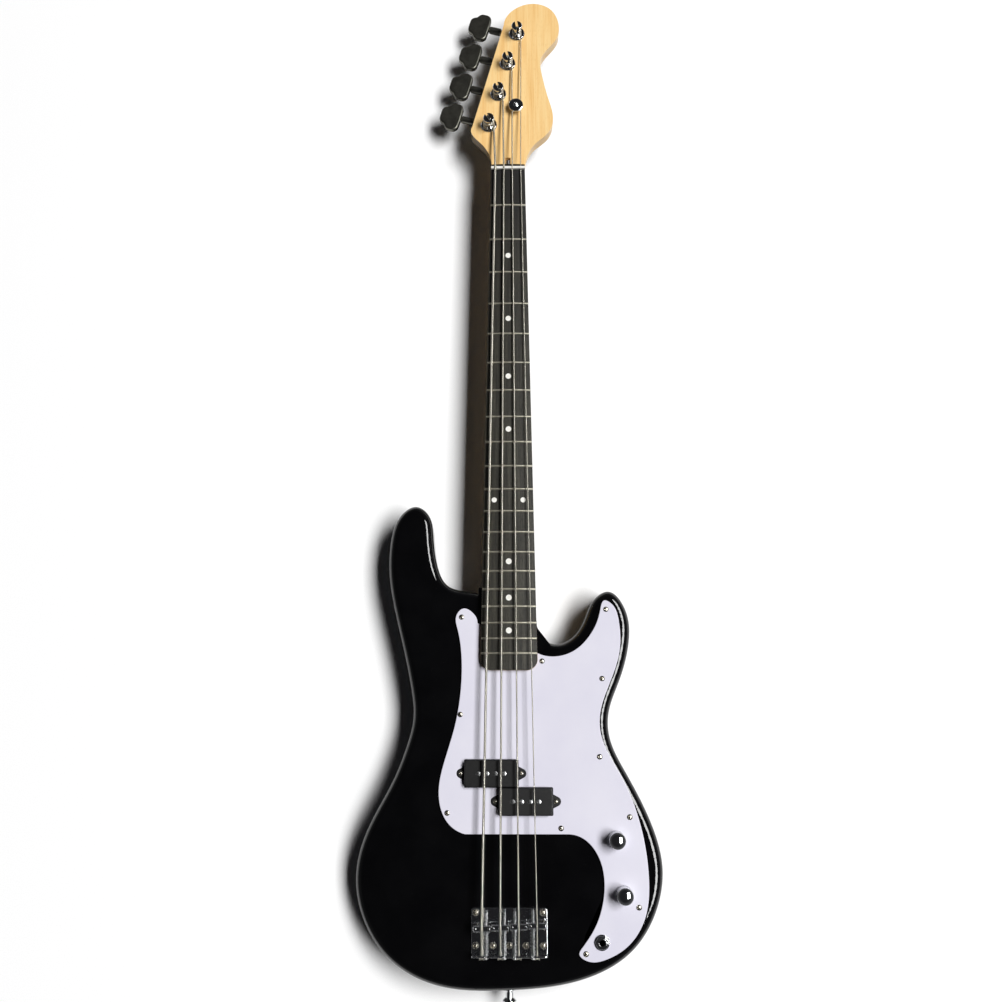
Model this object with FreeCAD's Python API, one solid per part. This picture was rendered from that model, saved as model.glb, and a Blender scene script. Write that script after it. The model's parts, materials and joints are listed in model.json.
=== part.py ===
import math
import os

import FreeCAD
import Part

V = FreeCAD.Vector

# An electric bass guitar lying on its back, in millimetres. +Y runs up the neck to the head,
# +X to the thin strings and +Z out of the face. The origin is the middle of the neck plate's
# outer face, which the body rests on.

# Scale and frets
scale_length = 864.0
fret_count = 20
plate_to_last_fret = 23.857
fret_width = 2.4
fret_height = 1.1
tang_width = 0.6
tang_depth = 1.6
dot_frets = (3, 5, 7, 9, 12, 15, 17, 19)
double_dot_fret = 12
dot_radius = 3.3
dot_depth = 1.6
double_dot_reach = 10.5
side_dot_radius = 1.1

# Neck, board and head
nut_width = 41.5
heel_width = 62.8
board_overhang = 18.0
board_thickness = 5.5
board_radius = 240.0
board_strip = 4.0
board_corner = 12.0
heel_thickness = 20.0
heel_reach = 92.0
heel_ramp = 26.0
shaft_depth_nut = 15.5
shaft_depth_heel = 18.0
head_drop = 9.9
head_thickness = 14.5
head_scoop = 12.0
head_angle = 15.0
tuner_edge_length = 153.5
nut_thickness = 3.5
nut_depth = 4.0
nut_rise = 2.9
rod_radius = 2.5
rod_drop = 7.6
rod_nut_radius = 2.9
rod_nut_length = 11.0
rod_slot_length = 15.0

# Body and neck joint
body_thickness = 44.5
edge_round = 10.0
pocket_depth = 16.0
forearm_radius = 230.0
belly_radius = 160.0
belly_depth = 14.0
belly_tilt = 16.0
plate_width = 51.0
plate_length = 64.0
plate_thickness = 2.0
plate_corner = 5.0
plate_screw_x = 38.0
plate_screw_y = 51.0
heel_corner = 10.0
heel_wall = 1.0
heel_slant = 9.0
heel_block = 46.0

# Pickguard, pickups and controls
guard_thickness = 2.3
pickup_shift = 18.4
pickup_gap = 0.4
cover_length = 57.5
cover_width = 28.4
cover_height = 8.2
cover_wall = 1.3
cover_chamfer = 4.5
cover_sink = 0.3
ear_screw_reach = 32.5
ear_half_width = 7.5
ear_tip = 4.5
ear_thickness = 1.5
pole_radius = 2.4
pole_pitch = 9.2
pole_rise = 0.6
coil_length = 50.0
coil_width = 16.0
coil_height = 14.0
pickup_cavity_depth = 19.0
control_cavity_depth = 33.0
cavity_margin = 2.0
control_slot_width = 36.0
feed_offset = 6.0
pot_radius = 12.0
pot_height = 9.5
lug_pitch = 4.5
lug_length = 4.0
pot_bush_radius = 3.5
pot_bush_height = 6.0
pot_shaft_radius = 3.0
pot_nut_flats = 10.0
knob_radius = 9.25
knob_height = 17.5
knob_lift = 0.8
jack_bush_radius = 4.7
jack_bore_radius = 3.25
jack_nut_flats = 12.7
jack_flange_radius = 8.5
control_nut_height = 2.2
cap_radius = 5.0
wire_radius = 0.8

# Bridge
string_pitch = 19.0
bridge_width = 79.0
bridge_front = 9.5
bridge_rear = 37.0
bridge_thickness = 2.0
bridge_wall = 2.0
bridge_wall_height = 13.0
bridge_corner_radius = 3.0
bridge_edge = 0.6
string_height = 13.0
anchor_height = 3.8
saddle_radius = 4.0
saddle_length = 18.0
saddle_groove = 0.8
saddle_compensation = (9.2, 8.2, 7.2, 6.2)
height_screw_radius = 1.25
height_screw_reach = 7.2
intonation_radius = 1.5
intonation_side = 4.2
intonation_tip = 11.0
spring_wire = 0.3
spring_turns = 5
ball_radius = 2.7

# Strings from the thickest to the thinnest, at their place along the nut and the bridge
string_names = ("e", "a", "d", "g")
string_radii = (1.33, 1.07, 0.83, 0.58)
nut_pitch = 10.4
nut_string_lift = 0.5
string_bend = 8.0
wind_turns = 2.25
wind_gap = 0.55

# Tuners
post_first = (-24.0, 68.5)
post_pitch = 45.8
post_radius = 5.0
post_waist = 4.6
post_cap_radius = 6.8
post_cap = 2.4
post_height = 16.4
slot_width = 3.0
slot_depth = 11.0
bush_radius = 7.0
bush_flange_radius = 10.2
bush_flange = 2.0
bush_length = 10.0
tuner_plate = 1.5
gear_teeth = 20
gear_module = 0.9
gear_tip = 9.2
gear_root = 8.1
gear_thickness = 4.2
gear_seat_radius = 3.0
worm_core = 2.4
worm_crest = 3.45
worm_offset = 12.0
worm_turns = 4.5
key_shaft_radius = 2.2
ear_gap = 9.0
ear_plate = 2.0
ear_reach = 4.2
key_start = 40.5
key_thickness = 7.4
key_round = 2.0
key_collar_radius = 3.4
key_stem_radius = 2.8
key_bell_radius = 4.6
key_bell_length = 17.0
tree_place = (10.0, 92.0)
tree_radius = 9.2
tree_stem = 3.0
tree_flange = 2.2
tree_height = 6.5

# Strap button
button_radius = 7.25
button_waist = 4.2
button_height = 14.0
button_screw_radius = 2.0
button_screw_length = 26.0

# Screws: head radius, head height, shank radius and length in what they hold to
guard_screw = (2.9, 1.3, 1.4, 12.0)
bridge_screw = (3.6, 2.2, 1.9, 24.0)
pickup_screw = (2.6, 1.4, 1.5, 30.0)
tuner_screw = (2.5, 1.3, 1.3, 11.0)
gear_screw = (4.0, 1.8, 1.25, 9.0)
tree_screw = (3.2, 1.4, 1.4, 12.0)
intonation_head = (2.7, 2.0)
plate_screw_radius = 2.3
plate_screw_head = 4.3
plate_screw_bite = 14.0

# Clearances
screw_gap = 0.05
fit_gap = 0.3
shaft_gap = 0.05
string_gap = 0.06

# Levels and stations worked out from the sizes above
z_back = plate_thickness
z_top = z_back + body_thickness
z_mid = z_back + body_thickness / 2
z_pocket = z_top - pocket_depth
z_board = z_pocket + heel_thickness
z_board_top = z_board + board_thickness
z_face = z_board_top - head_drop
z_head_back = z_face - head_thickness
z_guard = z_top + guard_thickness
z_bridge = z_top + bridge_thickness
z_rod = z_board - rod_drop
z_cover = z_guard - cover_sink
y_nut = scale_length * (1 - 2 ** (-fret_count / 12)) - plate_to_last_fret
y_end = y_nut - scale_length
y_board_top = y_nut + nut_thickness + board_strip
y_bridge_front = y_end + bridge_front
y_bridge_rear = y_end - bridge_rear
y_wall = y_bridge_rear + bridge_wall
z_nut_string = z_board_top + fret_height + nut_string_lift
z_saddle_string = z_bridge + string_height
z_saddle = z_saddle_string + saddle_groove - saddle_radius
z_anchor = z_bridge + anchor_height
z_tuner = z_head_back - tuner_plate
z_worm = z_tuner - worm_crest - fit_gap
z_gear = z_worm - gear_thickness / 2
z_gear_top = z_worm + gear_thickness / 2

# The outlines below are drawn for a bridge this far down from the neck plate, and another scale
# stretches what lies below the plate along Y
drawn_bridge = 296.0
stretch = -y_end / drawn_bridge


def placed(*points):
    return [(x, y * stretch if y < 0 else y) for x, y in points]


# Outline of the body, counter-clockwise from under the neck
body_points = placed(
    (0, 28), (-24, 42), (-46, 46.5), (-68.5, 53), (-81.5, 78), (-86, 110), (-92.5, 136),
    (-106, 145), (-123, 135.5), (-134.5, 105), (-135.5, 68), (-124, 8), (-107.5, -64),
    (-105, -92), (-112, -124), (-127, -162), (-150, -205), (-164, -257), (-156.5, -297),
    (-130, -336), (-85, -361), (0, -368), (78, -357), (128, -330), (156.5, -285),
    (162.5, -250), (152, -203), (126, -150), (109.5, -112), (109.5, -87), (121.5, -54),
    (134, -8), (129.5, 29), (112, 46.5), (95, 36.5), (85, 16), (72, -4), (54, -12.5),
    (39.5, -8.5), (20, 8),
)
forearm_line = placed((-104, -200), (-60, -350))
belly_place, = placed((-104, -88))

# Pickguard edge on the bass side, then around the controls to the lower horn
guard_bass_edge = placed(
    (-35, 10), (-41, 22), (-51, 26), (-58.5, 18), (-57, 3), (-52.5, -25), (-53, -65),
    (-60, -106), (-71.5, -145), (-75.5, -171), (-69, -197), (-47, -213.5),
)
guard_treble_edge = placed(
    (63, -213.5), (82, -220.5), (95, -238.5), (99.5, -262), (94, -294), (76, -324),
    (72, -331.5), (78, -337), (99, -336.5), (124, -322), (141, -296), (146, -253),
    (138, -200), (119, -152), (100, -113), (98.5, -92), (108, -61), (121.5, -23),
    (121.5, 15), (113.5, 32), (106.5, 35), (101.5, 24), (92, 0), (72, -20.5), (50, -27),
    (34, -24.5),
)
guard_screw_places = placed(
    (-52.5, 16.5), (-53, -89.5), (-66, -192), (55, -207.5), (108, 25), (102, -51), (97.5, -134),
    (128, -196), (135, -286), (79, -331), (36.5, -32),
)
volume_place, tone_place, jack_place = placed((113, -219), (119.5, -273.5), (95.5, -320))
(pickup_x, pickup_y), = placed((-0.8, -165.8))
pickup_step = (cover_width + pickup_gap) / 2
pickup_places = (
    (pickup_x - pickup_shift, pickup_y + pickup_step), (pickup_x + pickup_shift, pickup_y - pickup_step),
)

# Head outline measured from the nut: bass side up to the tuner edge, then from the tip down
head_bass_edge = ((-22.8, 25), (-32, 40.5), (-43.5, 53), (-46.5, 60.5), (-45, 66))
head_treble_edge = (
    (-1, 228), (12, 240.5), (33, 246.5), (54, 239), (65.5, 217), (63.5, 195.5), (51.5, 179),
    (42, 163), (43, 143), (51, 107), (56.5, 72), (51, 58), (33, 40.5), (24.5, 25),
)

# Bridge screws from the plate's middle: a row behind the saddles and one at each front corner
bridge_screw_row = (-35, -17, 0, 17, 35)
bridge_row_back = 27.0
bridge_corner = (35, 5)

# Tuner plate and its screws from the post's axis, with the keys to -X
tuner_plate_corners = ((-16.0, -15.0), (16.0, -15.0), (16.0, 23.0), (-16.0, 23.0))
tuner_screw_places = ((-12.5, -11.5), (12.5, -11.5), (-13.0, 19.5), (13.0, 19.5))

# Half outline of a key's clover leaf: distance along the shaft, half width and corner radius
key_leaf = ((0, 4.2, 0), (0.8, 19.0, 7.5), (15.5, 19.0, 7.0), (20.0, 12.6, 4.5), (27.0, 10.0, 7.5))


def spline(points, closed=False):
    curve = Part.BSplineCurve()
    curve.interpolate(Points=[V(x, y, 0) for x, y in points], PeriodicFlag=closed)
    return curve.toShape()


def line(first, last):
    return Part.makeLine(V(first[0], first[1], 0), V(last[0], last[1], 0))


def rounded(points, radii):
    """A closed outline of straight sides with each corner rounded by its radius."""
    corners = [V(x, y, 0) for x, y in points]
    ends, arcs = [], []
    for n, corner in enumerate(corners):
        back = (corners[n - 1] - corner).normalize()
        ahead = (corners[(n + 1) % len(corners)] - corner).normalize()
        half = back.getAngle(ahead) / 2
        reach = radii[n] / math.tan(half)
        start, end = corner + back * reach, corner + ahead * reach
        ends.append((start, end))
        if radii[n]:
            inward = (back + ahead).normalize() * (radii[n] / math.sin(half) - radii[n])
            arcs.append(Part.Arc(start, corner + inward, end).toShape())
        else:
            arcs.append(None)
    edges = []
    for n, (start, end) in enumerate(ends):
        if arcs[n]:
            edges.append(arcs[n])
        following = ends[(n + 1) % len(ends)][0]
        if (following - end).Length > 1e-6:
            edges.append(Part.makeLine(end, following))
    return Part.Wire(edges)


def oblong(x, y, half_x, half_y):
    """Corners of a rectangle about a point."""
    west, east, south, north = x - half_x, x + half_x, y - half_y, y + half_y
    return (west, south), (east, south), (east, north), (west, north)


def slab(wire, low, high):
    face = Part.Face(wire)
    face.translate(V(0, 0, low))
    return face.extrude(V(0, 0, high - low))


def box(x0, x1, y0, y1, z0, z1):
    return Part.makeBox(x1 - x0, y1 - y0, z1 - z0, V(x0, y0, z0))


def rod(x, y, low, high, radius):
    return Part.makeCylinder(radius, high - low, V(x, y, low))


def side_prism(points, half):
    """A prism of an outline in Y and Z, which reaches as far to both sides of the middle."""
    corners = [V(-half, y, z) for y, z in points]
    return Part.Face(Part.makePolygon(corners + corners[:1])).extrude(V(2 * half, 0, 0))


def turned(profile, base=V(0, 0, 0), axis=V(0, 0, 1)):
    """A solid turned from radius and height pairs about an axis through its base."""
    corners = [V(r, 0, h) for r, h in profile]
    solid = Part.Face(Part.makePolygon(corners + corners[:1])).revolve(V(0, 0, 0), V(0, 0, 1), 360)
    solid.Placement = FreeCAD.Placement(base, FreeCAD.Rotation(V(0, 0, 1), axis))
    return solid


def hexagon(x, y, low, high, flats, bore):
    corner = flats / 2 / math.cos(math.pi / 6)
    turn = [math.pi / 3 * n for n in range(6)]
    points = [(x + corner * math.cos(a), y + corner * math.sin(a)) for a in turn]
    prism = slab(rounded(points, [0] * 6), low, high).cut(rod(x, y, low, high, bore))
    flat = flats / 2 * 0.94
    brow = high - (corner - flat) * 0.6
    cone = ((0, low), (corner, low), (corner, brow), (flat, high), (0, high))
    return prism.common(turned(cone, V(x, y, 0)))


def screw(seat, head_radius, head_height, radius, length, axis=V(0, 0, 1)):
    """A raised-head screw, its shank going from the seat against the axis."""
    rim = head_height * 0.35
    profile = (
        (0, head_height), (head_radius, rim), (head_radius, 0), (radius, 0), (radius, -length), (0, -length),
    )
    return turned(profile, seat, axis)


def pilot(seat, radius, length, axis=V(0, 0, 1)):
    """The hole that a screw's shank goes into."""
    start = seat + axis * (-length - screw_gap)
    return Part.makeCylinder(radius + screw_gap, length + screw_gap, start, axis)


def bent(points, radius):
    """Straight runs joined by tangent arcs."""
    edges, start = [], points[0]
    for before, corner, after in zip(points, points[1:], points[2:]):
        back, ahead = (before - corner).normalize(), (after - corner).normalize()
        half = back.getAngle(ahead) / 2
        reach = radius / math.tan(half)
        first, last = corner + back * reach, corner + ahead * reach
        inward = (back + ahead).normalize() * (radius / math.sin(half) - radius)
        edges.append(Part.makeLine(start, first))
        edges.append(Part.Arc(first, corner + inward, last).toShape())
        start = last
    edges.append(Part.makeLine(start, points[-1]))
    return Part.Wire(edges)


def tube(path, radius, sides):
    """A wire of a many-sided section along a path of runs and arcs."""
    first = path.OrderedEdges[0]
    start, along = first.valueAt(first.FirstParameter), first.tangentAt(first.FirstParameter)
    frame = FreeCAD.Rotation(V(0, 0, 1), along)
    turn = [2 * math.pi * n / sides for n in range(sides)]
    ring = [start + frame.multVec(V(radius * math.cos(a), radius * math.sin(a), 0)) for a in turn]
    return path.makePipeShell([Part.makePolygon(ring + ring[:1])], True, False)


def arc_between(start, apex, end):
    """The arc that leaves the start and reaches the end along the two sides through the apex."""
    middle = (start + end) * 0.5
    half_chord, rise = (end - start).Length / 2, (apex - middle).Length
    radius = half_chord * math.hypot(half_chord, rise) / rise
    sag = radius - math.sqrt(radius * radius - half_chord * half_chord)
    return Part.Arc(start, middle + (apex - middle) * (sag / rise), end).toShape()


def biarc(start, leaving, end, arriving):
    """Two arcs from one point and direction to another."""
    gap = end - start
    a = 2 * (1 - leaving.dot(arriving))
    b = 2 * gap.dot(leaving + arriving)
    reach = (-b + math.sqrt(b * b + 4 * a * gap.dot(gap))) / (2 * a)
    first, last = start + leaving * reach, end - arriving * reach
    joint = (first + last) * 0.5
    return [arc_between(start, first, joint), arc_between(joint, last, end)]


def helix(centre, radius, pitch, turns, start_angle, level_end=False):
    """Quarter turns of a right-handed helix about Z, which may come level at its end."""
    quarters = round(4 * turns)
    places, ways = [], []
    for n in range(quarters + 1):
        a = start_angle + math.pi / 2 * n
        out = V(math.cos(a), math.sin(a), 0)
        places.append(centre + out * radius + V(0, 0, pitch * n / 4))
        climb = 0 if level_end and n == quarters else pitch / (2 * math.pi)
        ways.append(V(-radius * out.y, radius * out.x, climb).normalize())
    edges = []
    for n in range(quarters):
        edges += biarc(places[n], ways[n], places[n + 1], ways[n + 1])
    return edges


def least_gap(path, radius, turn_length):
    """The least space between one turn and the next, measured on points along the wire."""
    points = path.discretize(Distance=radius)
    apart = int(0.6 * turn_length / radius)
    pairs = ((p, q) for n, p in enumerate(points) for q in points[n + apart:])
    return min((p - q).Length for p, q in pairs) - 2 * radius


def save(name, *solids):
    shape = solids[0] if len(solids) == 1 else Part.makeCompound(list(solids))
    shape.exportStep("parts/" + name + ".step")
    print(name, len(shape.Solids), shape.isValid())


def fret_y(n):
    return y_nut - scale_length * (1 - 2 ** (-n / 12))


y_board_end = fret_y(fret_count) - board_overhang
y_heel_front = y_board_end + heel_reach


def neck_half(y):
    taper = (y_nut - y) / (y_nut - y_board_end)
    return (nut_width + (heel_width - nut_width) * taper) / 2


def neck_plan(y_far, grow=0.0):
    """The neck's tapered plan from its rounded end to a station, grown on every side."""
    low = y_board_end - grow
    wide, narrow = neck_half(low) + grow, neck_half(y_far) + grow
    points = ((-wide, low), (wide, low), (narrow, y_far), (-narrow, y_far))
    return rounded(points, (board_corner + grow, board_corner + grow, 0, 0))


def round_board(shape):
    """Trims a shape to the board's cambered top."""
    length = y_board_top - y_board_end
    start = V(0, y_board_end, z_board_top - board_radius)
    return shape.common(Part.makeCylinder(board_radius, length, start, V(0, 1, 0)))


def cambered(face, half):
    """Sweeps a section across the board, concentric with its camber."""
    centre, axis = V(0, 0, z_board_top - board_radius), V(0, 1, 0)
    swing = math.degrees(math.asin(half / board_radius))
    face.rotate(centre, axis, -swing)
    return face.revolve(centre, axis, 2 * swing)


def section(points):
    """A face in Y and Z on the middle plane."""
    corners = [V(0, y, z) for y, z in points]
    return Part.Face(Part.makePolygon(corners + corners[:1]))


def post_centre(n):
    along = post_pitch * n
    slope = math.radians(head_angle)
    x = post_first[0] + along * math.sin(slope)
    return V(x, y_nut + post_first[1] + along * math.cos(slope), 0)


def at_post(shape, n):
    """Moves a shape made about a post's axis, with keys to -X, to its place on the head."""
    moved = shape.copy()
    moved.rotate(V(0, 0, 0), V(0, 0, 1), -head_angle)
    moved.translate(post_centre(n))
    return moved


# The strings' way from the ball behind the bridge to the point where each meets its post
class StringRun:
    def __init__(self, n):
        self.radius = string_radii[n]
        self.bridge_x = (n - 1.5) * string_pitch
        self.nut_x = (n - 1.5) * nut_pitch
        self.saddle_y = y_end - saddle_compensation[n]
        self.coil_radius = post_waist + self.radius + string_gap
        self.pitch = 2 * self.radius + wind_gap
        self.coil_z = z_face + bush_flange + fit_gap + self.radius
        ball = V(self.bridge_x, y_bridge_rear - ball_radius - string_gap, z_anchor)
        saddle = V(self.bridge_x, self.saddle_y, z_saddle_string + self.radius)
        nut = V(self.nut_x, y_nut + nut_thickness / 2, z_nut_string + self.radius)
        self.points = [ball, saddle, nut]
        if n > 1:
            tree_y = y_nut + tree_place[1] - 0.85 * tree_radius
            direct, _ = self.tangent(nut, n)
            share = (tree_y - nut.y) / (direct.y - nut.y)
            under = z_face + tree_height - self.radius - string_gap
            self.points.append(V(nut.x + (direct.x - nut.x) * share, tree_y, under))
        meeting, self.start_angle = self.tangent(self.points[-1], n)
        way = (meeting - self.points[-1]).normalize()
        self.points.append(meeting - way * fit_gap)

    def tangent(self, start, n):
        """Where a line from the start touches the winding on its thin-string side."""
        centre = post_centre(n)
        gap = V(centre.x - start.x, centre.y - start.y, 0)
        lean = math.asin(self.coil_radius / gap.Length)
        way = math.atan2(gap.y, gap.x) - lean
        reach = math.sqrt(gap.Length ** 2 - self.coil_radius ** 2)
        x, y = start.x + reach * math.cos(way), start.y + reach * math.sin(way)
        return V(x, y, self.coil_z), math.atan2(y - centre.y, x - centre.x)

    def free_run(self, grow=0.0):
        return tube(bent(self.points, string_bend), self.radius + grow, 12)

    def ball(self):
        end = self.points[0]
        return Part.makeCylinder(ball_radius, 2 * ball_radius, end - V(ball_radius, 0, 0), V(1, 0, 0))

    def winding(self, n):
        """Turns up the post, then the bend through its slot to the middle of the post."""
        centre = post_centre(n) + V(0, 0, self.coil_z)
        edges = helix(centre, self.coil_radius, self.pitch, wind_turns, self.start_angle, True)
        bend = self.radius * 1.5
        lean = math.asin(bend / (self.coil_radius - bend))
        end_angle = self.start_angle + wind_turns * 2 * math.pi
        self.slot_angle = end_angle + lean
        level = centre + V(0, 0, self.pitch * wind_turns)
        out, end_out = turn_vector(self.slot_angle), turn_vector(end_angle)
        hub = level + end_out * (self.coil_radius - bend)
        touch = level + out * ((self.coil_radius - bend) * math.cos(lean))
        rim = hub + end_out * bend
        across = ((rim - hub).normalize() + (touch - hub).normalize()).normalize()
        edges.append(Part.Arc(rim, hub + across * bend, touch).toShape())
        edges.append(Part.makeLine(touch, level + out * (self.radius * 0.6)))
        return Part.Wire(edges)


def turn_vector(angle):
    return V(math.cos(angle), math.sin(angle), 0)


runs = [StringRun(n) for n in range(len(string_names))]
winding_paths = [run.winding(n) for n, run in enumerate(runs)]


# Every screw's seat with its sizes
down = V(0, 0, -1)
guard_screws = [(V(x, y, z_guard), *guard_screw) for x, y in guard_screw_places]
bridge_seats = [V(x, y_end - bridge_row_back, z_bridge) for x in bridge_screw_row]
bridge_seats += [V(s * bridge_corner[0], y_end + bridge_corner[1], z_bridge) for s in (-1, 1)]
bridge_screws = [(seat, *bridge_screw) for seat in bridge_seats]
pickup_seats = [V(x + s * ear_screw_reach, y, z_cover) for x, y in pickup_places for s in (-1, 1)]
pickup_screws = [(seat, *pickup_screw) for seat in pickup_seats]
tuner_marks = [Part.Vertex(x, y, z_tuner) for x, y in tuner_screw_places]
tuner_seats = [at_post(mark, n).Point for n in range(len(string_names)) for mark in tuner_marks]
tuner_screws = [(seat, *tuner_screw, down) for seat in tuner_seats]
plate_length_in = z_pocket + plate_screw_bite
plate_screws = [
    (V(sx * plate_screw_x / 2, sy * plate_screw_y / 2, 0), plate_screw_radius, plate_length_in)
    for sx in (-1, 1) for sy in (-1, 1)
]


def pickup_ears(grow=0.0):
    """Plan of one pickup half with its two screw ears, about its own middle."""
    half_l, half_w = cover_length / 2 + grow, cover_width / 2 + grow
    plan = Part.Face(rounded(oblong(0, 0, half_l, half_w), [1.0 + grow] * 4))
    for side in (-1, 1):
        base, tip = half_l - 1.5, ear_screw_reach + ear_tip + grow
        shoulder, wide, neck = ear_screw_reach + 2, ear_half_width + grow, ear_tip * 0.9 + grow
        rim = [V(side * base, -wide, 0), V(side * shoulder, -neck, 0)]
        far = [V(side * shoulder, neck, 0), V(side * base, wide, 0)]
        nose = Part.Arc(rim[1], V(side * tip, 0, 0), far[0]).toShape()
        sides = [Part.makeLine(*rim), nose, Part.makeLine(*far), Part.makeLine(far[1], rim[0])]
        plan = plan.fuse(Part.Face(Part.Wire(sides)))
    return plan.removeSplitter()


def pickup_prism(n, low, high, grow=0.0):
    plan = pickup_ears(grow)
    plan.translate(V(pickup_places[n][0], pickup_places[n][1], low))
    return plan.extrude(V(0, 0, high - low))


def control_cavity():
    """A routed trench that joins the two controls and the jack."""
    half, floor = control_slot_width / 2, z_top - control_cavity_depth
    stops = (volume_place, tone_place, jack_place)
    trench = rod(stops[0][0], stops[0][1], floor, z_top, half)
    for first, last in zip(stops, stops[1:]):
        run = V(last[0] - first[0], last[1] - first[1], 0)
        across = V(-run.y, run.x, 0).normalize() * half
        a, b = V(first[0], first[1], floor), V(last[0], last[1], floor)
        corners = [a + across, b + across, b - across, a - across]
        leg = Part.Face(Part.makePolygon(corners + corners[:1])).extrude(V(0, 0, z_top - floor))
        trench = trench.fuse(leg).fuse(rod(last[0], last[1], floor, z_top, half))
    return trench


def feed_at(share):
    """A point of the channel that leads the wire from the pickup to the volume control."""
    (x0, y0), (x1, y1) = pickup_places[1], volume_place
    return x0 + (x1 - x0) * share, y0 + (y1 + feed_offset - y0) * share


def forearm_cut():
    """What is taken off the front where the forearm lies: the space above a large cylinder."""
    first, last = [V(x, y, z_top) for x, y in forearm_line]
    along = (last - first).normalize()
    outward = V(along.y, -along.x, 0) if along.y < 0 else V(-along.y, along.x, 0)
    start, end = first - along * 300, last + along * 300
    sunk, raised = V(0, 0, -body_thickness), V(0, 0, edge_round)
    corners = [start + sunk, end + sunk, end + raised, start + raised]
    block = Part.Face(Part.makePolygon(corners + corners[:1])).extrude(outward * 160)
    length = (end - start).Length
    return block.cut(Part.makeCylinder(forearm_radius, length, start - V(0, 0, forearm_radius), along))


def belly_cut():
    """The scoop in the back at the waist, deepest at the edge."""
    lean = math.radians(belly_tilt)
    along = V(math.cos(lean), 0, -math.sin(lean))
    edge = V(belly_place[0], belly_place[1], z_back + belly_depth - belly_radius / math.cos(lean))
    return Part.makeCylinder(belly_radius, 320, edge - along * 160, along)


def is_upright(edge):
    ends = [vertex.Point for vertex in edge.Vertexes]
    gap = ends[0] - ends[-1]
    return gap.Length > 1 and math.hypot(gap.x, gap.y) < 1e-6


def tightest_bend():
    """The least radius of the body's outline, which its rounded edges stay within."""
    curve = spline(body_points, True)
    first, last = curve.ParameterRange
    steps = 600
    return min(1 / max(curve.curvatureAt(first + (last - first) * n / steps), 1e-6) for n in range(steps))


def make_body():
    blank = slab(Part.Wire(spline(body_points, True)), z_back, z_top).cut(forearm_cut())
    crease = [e for e in blank.Edges if e.Curve.TypeId == "Part::GeomLine" and not is_upright(e)]
    rims = [e for e in blank.Edges if not is_upright(e) and not any(e.isSame(c) for c in crease)]
    blank = blank.makeFillet(min(edge_round, 0.95 * tightest_bend()), rims).cut(belly_cut())
    side = neck_half(y_heel_front) + heel_wall
    heel_points = ((-side - 3, y_board_end), (-side - 3, y_heel_front), (side - 2, y_heel_front - heel_slant),
                   (side + 0.5, 5), (heel_block, -14), (heel_block, y_board_end))
    heel_radii = (0, 0, heel_corner, heel_corner, 0, 0)
    body = blank.fuse(slab(rounded(heel_points, heel_radii), z_back, z_top)).removeSplitter()
    cuts = [slab(neck_plan(y_heel_front + heel_ramp, fit_gap), z_pocket, z_board)]
    floor = z_top - pickup_cavity_depth
    for n in range(len(pickup_places)):
        cuts.append(pickup_prism(n, floor, z_top, cavity_margin))
    cuts.append(control_cavity())
    start, end = V(*feed_at(0), floor), V(*feed_at(1), floor)
    across = V(0, control_slot_width / 5, 0)
    corners = [start - across, end - across, end + across, start + across]
    cuts.append(Part.Face(Part.makePolygon(corners + corners[:1])).extrude(V(0, 0, z_top - floor)))
    for seat, _, _, radius, length in guard_screws + bridge_screws + pickup_screws:
        cuts.append(pilot(seat, radius, length))
    for seat, radius, length in plate_screws:
        cuts.append(pilot(seat, radius, length, down))
    cuts.append(pilot(tail_place() + tail_axis, button_screw_radius, button_screw_length + 1, tail_axis))
    return body.cut(Part.makeCompound(cuts))


tail_axis = V(0, -1, 0)


def tail_place():
    """On the middle line at the tail, at half the body's thickness."""
    rim = spline(body_points, True).discretize(800)
    return V(0, min(p.y for p in rim if abs(p.x) < button_radius), z_mid)


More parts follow.
